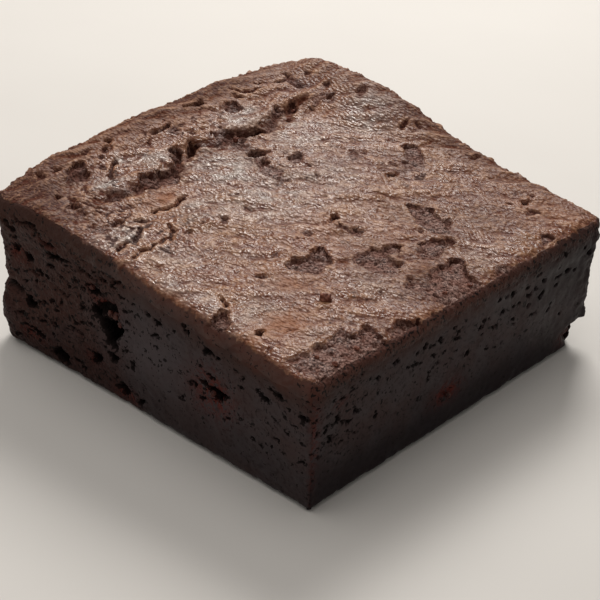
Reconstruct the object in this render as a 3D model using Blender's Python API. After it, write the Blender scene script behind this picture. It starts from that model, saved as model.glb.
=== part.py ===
# A square chocolate brownie, cut from a tray and standing on its flat base.
# Origin: centre of the base's outline, on the surface it rests on. +Z is up, -Y is the
# front cut face and +X the right cut face. The left and back sides are the higher ones.

import math

import bmesh
import bpy
from mathutils import Matrix, Vector, noise

MM = 0.001

# Plan
WIDTH = 72.0 * MM                 # across X
DEPTH = 71.0 * MM                 # across Y
CORNER_RADIUS = {                 # rounding of each upright corner, by its X and Y signs
    (1, -1): 1.4 * MM,
    (1, 1): 2.2 * MM,
    (-1, -1): 3.6 * MM,
    (-1, 1): 4.5 * MM,
}

# Heights of the top's four corners, before the humps and the dropped rim
CORNER_HEIGHT = {
    (1, -1): 23.4 * MM,
    (1, 1): 24.0 * MM,
    (-1, -1): 28.6 * MM,
    (-1, 1): 31.6 * MM,
}
RIM_DROP = 0.7 * MM               # how far the crust turns down at its edge
RIM_REACH = 2.2 * MM              # how far in from the edge it starts to turn down

# Risen and sunken stretches of the top: centre, reach along X and Y, and height
SWELLS = [
    (-14.0 * MM, 34.5 * MM, 15.0 * MM, 9.0 * MM, 3.7 * MM),
    (-33.0 * MM, -6.0 * MM, 6.0 * MM, 20.0 * MM, 1.2 * MM),
    (-12.0 * MM, -35.0 * MM, 16.0 * MM, 6.0 * MM, 0.6 * MM),
    (0.0 * MM, 0.0 * MM, 26.0 * MM, 26.0 * MM, 0.4 * MM),
    (-34.0 * MM, -34.0 * MM, 5.0 * MM, 5.0 * MM, -1.6 * MM),
    (-34.0 * MM, 34.0 * MM, 6.0 * MM, 6.0 * MM, -1.2 * MM),
]

# The long valley between the raised left band and the flat middle of the top
VALLEY_X = -20.0 * MM
VALLEY_FROM_Y = -12.0 * MM
VALLEY_TO_Y = 25.0 * MM
VALLEY_HALF_WIDTH = 1.9 * MM
VALLEY_DEPTH = 1.1 * MM

# Sides
LEAN = 1.0 * MM                   # how much narrower the base is on each side
FOOT_INSET = 0.9 * MM             # the rounded bottom edge
FOOT_HEIGHT = 1.3 * MM
FOOT_LEVELS = (0.0, 0.5 * FOOT_HEIGHT, FOOT_HEIGHT)
COLLAR_OUT = 0.4 * MM             # the crust's edge stands out over the crumb
COLLAR_PLACE = 0.88               # where on the side's height it stands out most
COLLAR_SPREAD = 0.10
LOW_BULGE_OUT = 1.4 * MM          # the lower layer stands out at the front left corner
LOW_BULGE_HEIGHT = 5.5 * MM
LOW_BULGE_RISE = 4.5 * MM         # half the bulge's height
LOW_BULGE_REACH = 12.0 * MM       # how far it carries along both sides
SIDE_WAVE = 0.35 * MM             # unevenness of the sides
SIDE_WAVE_LENGTH = 11.0 * MM
TOP_WAVE = 0.35 * MM              # unevenness of the top
TOP_WAVE_LENGTH = 9.0 * MM

# Mesh
CELLS = 30                        # grid cells along each edge of the top
EDGE_CROWDING = 0.5               # 0 is an even grid, nearer 1 crowds it to the edges
SIDE_RINGS = 9                    # rings between the foot and the crust's edge
SEED_STEP = 3.7                   # shifts the noise from one hollow to the next

# Hollows in the cut faces. place is along the face and up; size is along, up and deep
FRONT_HOLLOWS = {
    "great_cavity": {"place": (-6.6 * MM, 13.6 * MM), "size": (4.6 * MM, 8.6 * MM, 9.0 * MM), "turn": 22.0},
    "upper_slot": {"place": (-17.8 * MM, 22.3 * MM), "size": (7.0 * MM, 1.8 * MM, 4.0 * MM), "turn": -4.0},
    "left_slot": {"place": (-27.2 * MM, 18.8 * MM), "size": (5.6 * MM, 2.2 * MM, 4.4 * MM), "turn": -8.0},
    "red_hollow": {"place": (-9.4 * MM, 20.2 * MM), "size": (4.2 * MM, 2.6 * MM, 3.6 * MM), "turn": -18.0},
    "low_slot": {"place": (-3.0 * MM, 3.4 * MM), "size": (5.6 * MM, 2.0 * MM, 3.6 * MM), "turn": -6.0},
    "rough_hollow": {"place": (15.2 * MM, 12.8 * MM), "size": (4.6 * MM, 6.6 * MM, 4.4 * MM), "turn": 14.0},
    "pair_hollow": {"place": (28.2 * MM, 18.4 * MM), "size": (5.4 * MM, 1.8 * MM, 3.4 * MM), "turn": 0.0},
}
LAYER_SPLIT_HEIGHT = 11.8 * MM    # the split between two layers at the front left corner
LAYER_SPLIT_SIZE = (15.0 * MM, 10.0 * MM, 2.0 * MM)
LAYER_SPLIT_INSET = 1.5 * MM      # its centre's distance in from both faces
LAYER_SPLIT_TILT = 4.0
HOLLOW_LUMP = 0.22                # how uneven each hollow is, as a share of its radius
HOLLOW_LUMP_SCALE = 1.7

# Places where the crust has come off: centre, size along X and Y, turn in degrees
TORN_PATCHES = {
    "middle": {"place": (14.5 * MM, -11.5 * MM), "size": (7.0 * MM, 5.0 * MM), "turn": 42.0},
    "right_edge": {"place": (31.0 * MM, -1.0 * MM), "size": (8.0 * MM, 11.0 * MM), "turn": 0.0},
    "near_corner": {"place": (32.0 * MM, -26.0 * MM), "size": (7.0 * MM, 15.0 * MM), "turn": -6.0},
    "back_right": {"place": (18.6 * MM, 12.5 * MM), "size": (5.0 * MM, 9.0 * MM), "turn": 30.0},
    "back": {"place": (3.0 * MM, 24.5 * MM), "size": (5.5 * MM, 5.0 * MM), "turn": 20.0},
}
TORN_DEPTH = 0.8 * MM
TORN_SIDES = 14                   # corners of a torn patch's ragged outline
TORN_RAGGED = 0.22                # how far that outline wanders, as a share of its radius
TORN_RAGGED_SCALE = 3.0
TORN_LID = 1.6 * MM               # how far the cutter stands above the crust

CRUMB_COLOUR = (0.035, 0.017, 0.012, 1.0)
CRUMB_ROUGHNESS = 0.6


def clear_scene():
    for item in list(bpy.data.objects):
        bpy.data.objects.remove(item, do_unlink=True)


def crowded_lines(cells):
    # Grid lines from -1 to 1, closer together towards both ends
    lines = []
    for step in range(cells + 1):
        t = 2.0 * step / cells - 1.0
        lines.append((1.0 - EDGE_CROWDING) * t + EDGE_CROWDING * math.sin(0.5 * math.pi * t))
    return lines


def round_corner(x, y):
    # Bend the square's corner onto its quarter circle, and leave the rest where it is
    radius = CORNER_RADIUS[(1 if x > 0 else -1, 1 if y > 0 else -1)]
    past_x = abs(x) - (0.5 * WIDTH - radius)
    past_y = abs(y) - (0.5 * DEPTH - radius)
    if past_x <= 0 or past_y <= 0:
        return x, y
    shrink = max(past_x, past_y) / math.hypot(past_x, past_y)
    return (math.copysign(0.5 * WIDTH - radius + past_x * shrink, x),
            math.copysign(0.5 * DEPTH - radius + past_y * shrink, y))


def swell(x, y):
    # Sum of the top's soft humps and hollows
    total = 0.0
    for centre_x, centre_y, reach_x, reach_y, height in SWELLS:
        total += height * math.exp(-((x - centre_x) / reach_x) ** 2 - ((y - centre_y) / reach_y) ** 2)
    return total


def valley(x, y):
    # The long broken valley, which fades out at both ends
    if not VALLEY_FROM_Y < y < VALLEY_TO_Y:
        return 0.0
    along = (y - VALLEY_FROM_Y) / (VALLEY_TO_Y - VALLEY_FROM_Y)
    fade = math.sin(math.pi * along)
    return VALLEY_DEPTH * fade * math.exp(-((x - VALLEY_X) / VALLEY_HALF_WIDTH) ** 2)


def top_height(x, y):
    # Height of the crust: a plane through the four corners, with humps, waves and a low rim
    across = x / WIDTH + 0.5
    along = y / DEPTH + 0.5
    front = (1.0 - across) * CORNER_HEIGHT[(-1, -1)] + across * CORNER_HEIGHT[(1, -1)]
    back = (1.0 - across) * CORNER_HEIGHT[(-1, 1)] + across * CORNER_HEIGHT[(1, 1)]
    height = (1.0 - along) * front + along * back + swell(x, y) - valley(x, y)
    height += TOP_WAVE * noise.noise(Vector((x / TOP_WAVE_LENGTH, y / TOP_WAVE_LENGTH, 0.0)))
    inside = min(0.5 * WIDTH - abs(x), 0.5 * DEPTH - abs(y))
    turn = max(0.0, 1.0 - inside / RIM_REACH)
    return height - RIM_DROP * turn ** 2


def side_offset(x, y, z, edge_height):
    # How far a point of the side stands out from the plan's outline, negative for inwards
    share = z / edge_height
    offset = -LEAN * (1.0 - share)
    offset -= FOOT_INSET * max(0.0, 1.0 - z / FOOT_HEIGHT) ** 2
    offset += COLLAR_OUT * math.exp(-((share - COLLAR_PLACE) / COLLAR_SPREAD) ** 2)
    from_corner = math.hypot(x + 0.5 * WIDTH, y + 0.5 * DEPTH) / LOW_BULGE_REACH
    offset += LOW_BULGE_OUT * math.exp(-((z - LOW_BULGE_HEIGHT) / LOW_BULGE_RISE) ** 2 - from_corner ** 2)
    spot = Vector((x, y, z)) / SIDE_WAVE_LENGTH
    return offset + SIDE_WAVE * noise.noise(spot) * math.sin(math.pi * share)


def boundary_order(cells):
    # Grid indices once round the top's edge, starting at the front left corner
    order = [(i, 0) for i in range(cells)]
    order += [(cells, j) for j in range(cells)]
    order += [(i, cells) for i in range(cells, 0, -1)]
    order += [(0, j) for j in range(cells, 0, -1)]
    return order


def ring_height(level, edge_height):
    # Height of one ring: close together round the foot, then evenly up to the crust's edge
    if level < len(FOOT_LEVELS):
        return FOOT_LEVELS[level]
    step = (level - len(FOOT_LEVELS) + 1) / (SIDE_RINGS + 1)
    return FOOT_HEIGHT + step * (edge_height - FOOT_HEIGHT)


def side_point(x, y, z, edge_height):
    plan_x, plan_y = round_corner(x, y)
    offset = side_offset(x, y, z, edge_height)
    return Vector((plan_x * (1.0 + 2.0 * offset / WIDTH), plan_y * (1.0 + 2.0 * offset / DEPTH), z))


def block_mesh():
    # The whole block: gridded top, ringed sides and one flat face underneath
    mesh = bmesh.new()
    lines = crowded_lines(CELLS)
    top = {}
    for i, u in enumerate(lines):
        for j, v in enumerate(lines):
            x, y = round_corner(0.5 * WIDTH * u, 0.5 * DEPTH * v)
            top[i, j] = mesh.verts.new((x, y, top_height(x, y)))
    for i in range(CELLS):
        for j in range(CELLS):
            mesh.faces.new((top[i, j], top[i + 1, j], top[i + 1, j + 1], top[i, j + 1]))

    order = boundary_order(CELLS)
    rings = []
    for level in range(SIDE_RINGS + len(FOOT_LEVELS)):
        ring = []
        for i, j in order:
            edge_height = top[i, j].co.z
            z = ring_height(level, edge_height)
            place = side_point(0.5 * WIDTH * lines[i], 0.5 * DEPTH * lines[j], z, edge_height)
            ring.append(mesh.verts.new(place))
        rings.append(ring)
    rings.append([top[i, j] for i, j in order])

    for lower, upper in zip(rings, rings[1:]):
        for a in range(len(order)):
            b = (a + 1) % len(order)
            mesh.faces.new((lower[a], lower[b], upper[b], upper[a]))
    mesh.faces.new(list(reversed(rings[0])))
    return mesh


def uneven_ball(mesh, centre, size, turn, seed):
    # A lumpy ball, scaled to size, turned about the normal of its face and set at centre
    turned = Matrix.Rotation(turn, 4, "Y")
    placed = Matrix.Translation(centre) @ turned @ Matrix.Diagonal((*[0.5 * s for s in size], 1.0))
    made = bmesh.ops.create_icosphere(mesh, subdivisions=2, radius=1.0)
    for vert in made["verts"]:
        lump = 1.0 + HOLLOW_LUMP * noise.noise(vert.co * HOLLOW_LUMP_SCALE + Vector((seed, 0.0, 0.0)))
        vert.co = placed @ (vert.co * lump)


def hollow_cutters(mesh):
    # Hollows along the front face, and the split between two layers at its left corner
    for seed, hollow in enumerate(FRONT_HOLLOWS.values()):
        along, up = hollow["place"]
        width, height, depth = hollow["size"]
        centre = Vector((along, -0.5 * DEPTH + LEAN * (1.0 - up / top_height(along, -0.5 * DEPTH)), up))
        uneven_ball(mesh, centre, (width, depth, height), math.radians(hollow["turn"]), SEED_STEP * seed)
    split_x = -0.5 * WIDTH + LAYER_SPLIT_INSET
    split_y = -0.5 * DEPTH + LAYER_SPLIT_INSET
    split_centre = Vector((split_x, split_y, LAYER_SPLIT_HEIGHT))
    split_seed = SEED_STEP * len(FRONT_HOLLOWS)
    uneven_ball(mesh, split_centre, LAYER_SPLIT_SIZE, math.radians(LAYER_SPLIT_TILT), split_seed)


def torn_cutter(mesh, patch, seed):
    # A ragged plug, whose floor lies at TORN_DEPTH under the crust and whose walls lean out
    centre_x, centre_y = patch["place"]
    size_x, size_y = patch["size"]
    turn = math.radians(patch["turn"])
    floor = []
    lid = []
    for corner in range(TORN_SIDES):
        angle = 2.0 * math.pi * corner / TORN_SIDES
        spot = Vector((math.cos(angle), math.sin(angle), 0.0)) * TORN_RAGGED_SCALE
        ragged = 1.0 + TORN_RAGGED * noise.noise(spot + Vector((0.0, 0.0, seed)))
        out_x = 0.5 * size_x * math.cos(angle) * ragged
        out_y = 0.5 * size_y * math.sin(angle) * ragged
        x = centre_x + out_x * math.cos(turn) - out_y * math.sin(turn)
        y = centre_y + out_x * math.sin(turn) + out_y * math.cos(turn)
        reach = 1.0 + TORN_DEPTH / max(size_x, size_y)
        lid_x = centre_x + (x - centre_x) * reach
        lid_y = centre_y + (y - centre_y) * reach
        floor.append(mesh.verts.new((x, y, top_height(x, y) - TORN_DEPTH)))
        lid.append(mesh.verts.new((lid_x, lid_y, top_height(x, y) + TORN_LID)))
    middle = mesh.verts.new((centre_x, centre_y, top_height(centre_x, centre_y) - TORN_DEPTH))
    for a in range(TORN_SIDES):
        b = (a + 1) % TORN_SIDES
        mesh.faces.new((middle, floor[b], floor[a]))
        mesh.faces.new((floor[a], floor[b], lid[b], lid[a]))
    cap = mesh.verts.new((centre_x, centre_y, top_height(centre_x, centre_y) + TORN_LID))
    for a in range(TORN_SIDES):
        b = (a + 1) % TORN_SIDES
        mesh.faces.new((cap, lid[a], lid[b]))


def torn_cutters(mesh):
    for seed, patch in enumerate(TORN_PATCHES.values()):
        torn_cutter(mesh, patch, SEED_STEP * seed)


def new_object(name, mesh):
    data = bpy.data.meshes.new(name)
    mesh.to_mesh(data)
    mesh.free()
    made = bpy.data.objects.new(name, data)
    bpy.context.scene.collection.objects.link(made)
    return made


def cutter_object(name, fill):
    mesh = bmesh.new()
    fill(mesh)
    cutter = new_object(name, mesh)
    cutter.hide_render = True
    cutter.display_type = "WIRE"
    return cutter


def cut(target, cutter):
    step = target.modifiers.new(cutter.name, "BOOLEAN")
    step.operation = "DIFFERENCE"
    step.solver = "EXACT"
    step.object = cutter


def brownie_material():
    material = bpy.data.materials.new("brownie_crumb")
    material.use_nodes = True
    shader = material.node_tree.nodes["Principled BSDF"]
    shader.inputs["Base Color"].default_value = CRUMB_COLOUR
    shader.inputs["Roughness"].default_value = CRUMB_ROUGHNESS
    shader.inputs["Metallic"].default_value = 0.0
    return material


def make_brownie():
    brownie = new_object("brownie", block_mesh())
    brownie.data.materials.append(brownie_material())
    brownie.data.set_sharp_from_angle(angle=math.radians(40.0))
    cut(brownie, cutter_object("hollow_cutters", hollow_cutters))
    cut(brownie, cutter_object("torn_cutters", torn_cutters))
    return brownie


clear_scene()
make_brownie()
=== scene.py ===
import math

import bpy
import numpy as np
from mathutils import Matrix, Vector, noise


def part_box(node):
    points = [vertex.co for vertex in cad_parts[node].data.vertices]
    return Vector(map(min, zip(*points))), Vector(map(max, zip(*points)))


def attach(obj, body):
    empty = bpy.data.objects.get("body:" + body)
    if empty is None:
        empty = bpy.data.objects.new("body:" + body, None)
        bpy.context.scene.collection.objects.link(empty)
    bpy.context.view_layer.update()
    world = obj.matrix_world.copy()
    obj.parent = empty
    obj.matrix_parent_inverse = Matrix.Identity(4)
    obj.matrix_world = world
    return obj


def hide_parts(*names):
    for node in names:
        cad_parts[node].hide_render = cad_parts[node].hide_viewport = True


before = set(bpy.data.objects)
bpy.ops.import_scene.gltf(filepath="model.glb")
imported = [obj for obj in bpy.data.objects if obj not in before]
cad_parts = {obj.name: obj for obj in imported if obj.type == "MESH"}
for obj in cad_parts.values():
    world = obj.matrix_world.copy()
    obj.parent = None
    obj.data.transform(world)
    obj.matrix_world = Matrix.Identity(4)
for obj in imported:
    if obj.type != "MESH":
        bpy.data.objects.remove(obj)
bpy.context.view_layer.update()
mm = 0.001
print("frame loaded")

# The block's own form, in millimetres, close to the solid that it stands for
blockForm = {
    "width": 72.0, "depth": 71.0,
    "cornerRadius": {(1, -1): 1.4, (1, 1): 2.2, (-1, -1): 3.6, (-1, 1): 3.8},
    "cornerHeight": {(1, -1): 23.4, (1, 1): 24.0, (-1, -1): 28.6, (-1, 1): 31.6},
    "rimDrop": 0.7, "rimReach": 2.2,
    "swells": [   # centre x, centre y, reach x, reach y, height
        (-14, 34.5, 15, 9, 3.7), (-27, 34.5, 5, 5, 1), (-33, -4, 6, 21, 1.7), (-12, -35, 16, 6, 0.6),
        (0, 0, 26, 26, 0.4), (-34, -34, 5, 5, -1.6), (-35, 33, 4.5, 6.5, -1.3), (-35, 15, 4, 5, 0.6)],
    "topWave": 0.35, "topWaveLength": 9.0,
    "lean": 1.0, "footInset": 0.9, "footHeight": 1.3,
    "collarOut": 0.4, "collarPlace": 0.88, "collarSpread": 0.10,
    "lowBulgeOut": 1.4, "lowBulgeHeight": 5.5, "lowBulgeRise": 4.5, "lowBulgeReach": 12.0,
    "sideWave": 0.35, "sideWaveLength": 11.0,
}
halfWidth, halfDepth = 0.5 * blockForm["width"], 0.5 * blockForm["depth"]


def hashCells(ix, iy, iz, seed):
    h = (ix * 374761393 + iy * 668265263 + iz * 2246822519 + seed * 326648991) & 0xFFFFFFFF
    h = ((h ^ (h >> 13)) * 1274126177) & 0xFFFFFFFF
    return h ^ (h >> 16)


def softNoise(x, y, z, seed):
    # Gradient noise over arrays, about -1 to 1
    x, y, z = np.broadcast_arrays(x, y, z)
    cells = [np.floor(v).astype(np.int64) for v in (x, y, z)]
    part = [v - c for v, c in zip((x, y, z), cells)]
    ease = [p * p * p * (p * (p * 6.0 - 15.0) + 10.0) for p in part]
    total = np.zeros(x.shape)
    for dx in (0, 1):
        for dy in (0, 1):
            for dz in (0, 1):
                h = hashCells(cells[0] + dx, cells[1] + dy, cells[2] + dz, seed)
                dot = ((h & 1023) / 511.5 - 1.0) * (part[0] - dx)
                dot += (((h >> 10) & 1023) / 511.5 - 1.0) * (part[1] - dy)
                dot += (((h >> 20) & 1023) / 511.5 - 1.0) * (part[2] - dz)
                share = ease[0] if dx else 1.0 - ease[0]
                share = share * (ease[1] if dy else 1.0 - ease[1])
                share = share * (ease[2] if dz else 1.0 - ease[2])
                total += dot * share
    return total * 1.7


def layeredNoise(x, y, z, seed, layers=3, gain=0.5):
    total = np.zeros(np.broadcast(x, y, z).shape)
    size, weight = 1.0, 1.0
    for layer in range(layers):
        total += weight * softNoise(x * size, y * size, z * size, seed + 17 * layer)
        size *= 2.03
        weight *= gain
    return total


def flatNoise(x, y, size, seed, layers=1, gain=0.5, level=0.0):
    # Noise over the plan; size is in millimetres, and the seed picks its pattern
    return layeredNoise(x / size, y / size, level, seed, layers, gain)


def solidNoise(x, y, z, size, seed, layers=1, gain=0.5):
    # The same through space
    return layeredNoise(x / size, y / size, z / size, seed, layers, gain)


def nearestDot(x, y, z, seed):
    # Distance to the nearest scattered dot, one in each cell, in cells
    x, y, z = np.broadcast_arrays(x, y, z)
    cells = [np.floor(v).astype(np.int64) for v in (x, y, z)]
    best = np.full(x.shape, 9.0)
    for dx in (-1, 0, 1):
        for dy in (-1, 0, 1):
            for dz in (-1, 0, 1):
                h = hashCells(cells[0] + dx, cells[1] + dy, cells[2] + dz, seed)
                px = cells[0] + dx + (h & 1023) / 1023.0
                py = cells[1] + dy + ((h >> 10) & 1023) / 1023.0
                pz = cells[2] + dz + ((h >> 20) & 1023) / 1023.0
                best = np.minimum(best, (px - x) ** 2 + (py - y) ** 2 + (pz - z) ** 2)
    return np.sqrt(best)


def step01(low, high, value):
    # Rises softly from 0 at low to 1 at high, or falls when high is the smaller
    t = np.clip((value - low) / (high - low), 0.0, 1.0)
    return t * t * (3.0 - 2.0 * t)


def softSpot(a, b, centreA, centreB, reachA, reachB):
    # One at its centre, fading out over its reaches
    return np.exp(-((a - centreA) / reachA) ** 2 - ((b - centreB) / reachB) ** 2)


def blenderWave(x, y, z):
    # Blender's own noise, so that the slow waves match the solid's
    flat = np.stack([np.broadcast_to(v, x.shape).ravel() for v in (x, y, z)], axis=1)
    return np.array([noise.noise(Vector(p)) for p in flat.tolist()]).reshape(x.shape)


def roundCorner(x, y, inset=0.0):
    # Bends the square's corners onto their quarter circles; inset makes a smaller outline
    halfX, halfY = halfWidth - inset, halfDepth - inset
    newX, newY = x.copy(), y.copy()
    for (signX, signY), radius in blockForm["cornerRadius"].items():
        radius = max(radius - inset, 0.4)
        pastX = signX * x - (halfX - radius)
        pastY = signY * y - (halfY - radius)
        inCorner = (pastX > 0) & (pastY > 0)
        reach = np.hypot(pastX, pastY) + 1e-9
        shrink = np.maximum(pastX, pastY) / reach
        newX = np.where(inCorner, signX * (halfX - radius + pastX * shrink), newX)
        newY = np.where(inCorner, signY * (halfY - radius + pastY * shrink), newY)
    return newX, newY


def crustLevel(x, y):
    # The top's height before its fine relief
    form = blockForm
    across = x / form["width"] + 0.5
    along = y / form["depth"] + 0.5
    height = form["cornerHeight"]
    front = (1.0 - across) * height[(-1, -1)] + across * height[(1, -1)]
    back = (1.0 - across) * height[(-1, 1)] + across * height[(1, 1)]
    level = (1.0 - along) * front + along * back
    for centreX, centreY, reachX, reachY, rise in form["swells"]:
        level += rise * softSpot(x, y, centreX, centreY, reachX, reachY)
    length = form["topWaveLength"]
    level += form["topWave"] * blenderWave(x / length, y / length, 0.0)
    inside = np.minimum(halfWidth - np.abs(x), halfDepth - np.abs(y))
    turn = np.clip(1.0 - inside / form["rimReach"], 0.0, None)
    return level - form["rimDrop"] * turn ** 2


def sideOffset(x, y, z, edgeHeight):
    # How far the side stands out from the plan's outline at each height
    form = blockForm
    share = z / edgeHeight
    offset = -form["lean"] * (1.0 - share)
    offset -= form["footInset"] * np.clip(1.0 - z / form["footHeight"], 0.0, None) ** 2
    offset += form["collarOut"] * np.exp(-((share - form["collarPlace"]) / form["collarSpread"]) ** 2)
    fromCorner = np.hypot(x + halfWidth, y + halfDepth) / form["lowBulgeReach"]
    rise = (z - form["lowBulgeHeight"]) / form["lowBulgeRise"]
    offset += form["lowBulgeOut"] * np.exp(-rise ** 2 - fromCorner ** 2)
    length = form["sideWaveLength"]
    wave = blenderWave(x / length, y / length, z / length)
    return offset + form["sideWave"] * wave * np.sin(np.pi * np.clip(share, 0.0, 1.0))


def outlineLoop(steps, inset):
    # Points round the outline from the front left corner, with outward normals and face numbers.
    # steps holds the number of columns on the front, right, back and left face
    halfX, halfY = halfWidth - inset, halfDepth - inset
    xs, ys, face = [], [], []
    ends = [((-1, -1), (1, -1)), ((1, -1), (1, 1)), ((1, 1), (-1, 1)), ((-1, 1), (-1, -1))]
    for number, ((ax, ay), (bx, by)) in enumerate(ends):
        t = np.arange(steps[number]) / steps[number]
        xs.append(halfX * (ax + (bx - ax) * t))
        ys.append(halfY * (ay + (by - ay) * t))
        face.append(np.full(steps[number], number))
    x, y = roundCorner(np.concatenate(xs), np.concatenate(ys), inset)
    tangentX = np.roll(x, -3) - np.roll(x, 3)   # over three points each way, so that corners turn softly
    tangentY = np.roll(y, -3) - np.roll(y, 3)
    length = np.hypot(tangentX, tangentY)
    return x, y, tangentY / length, -tangentX / length, np.concatenate(face)


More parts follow.
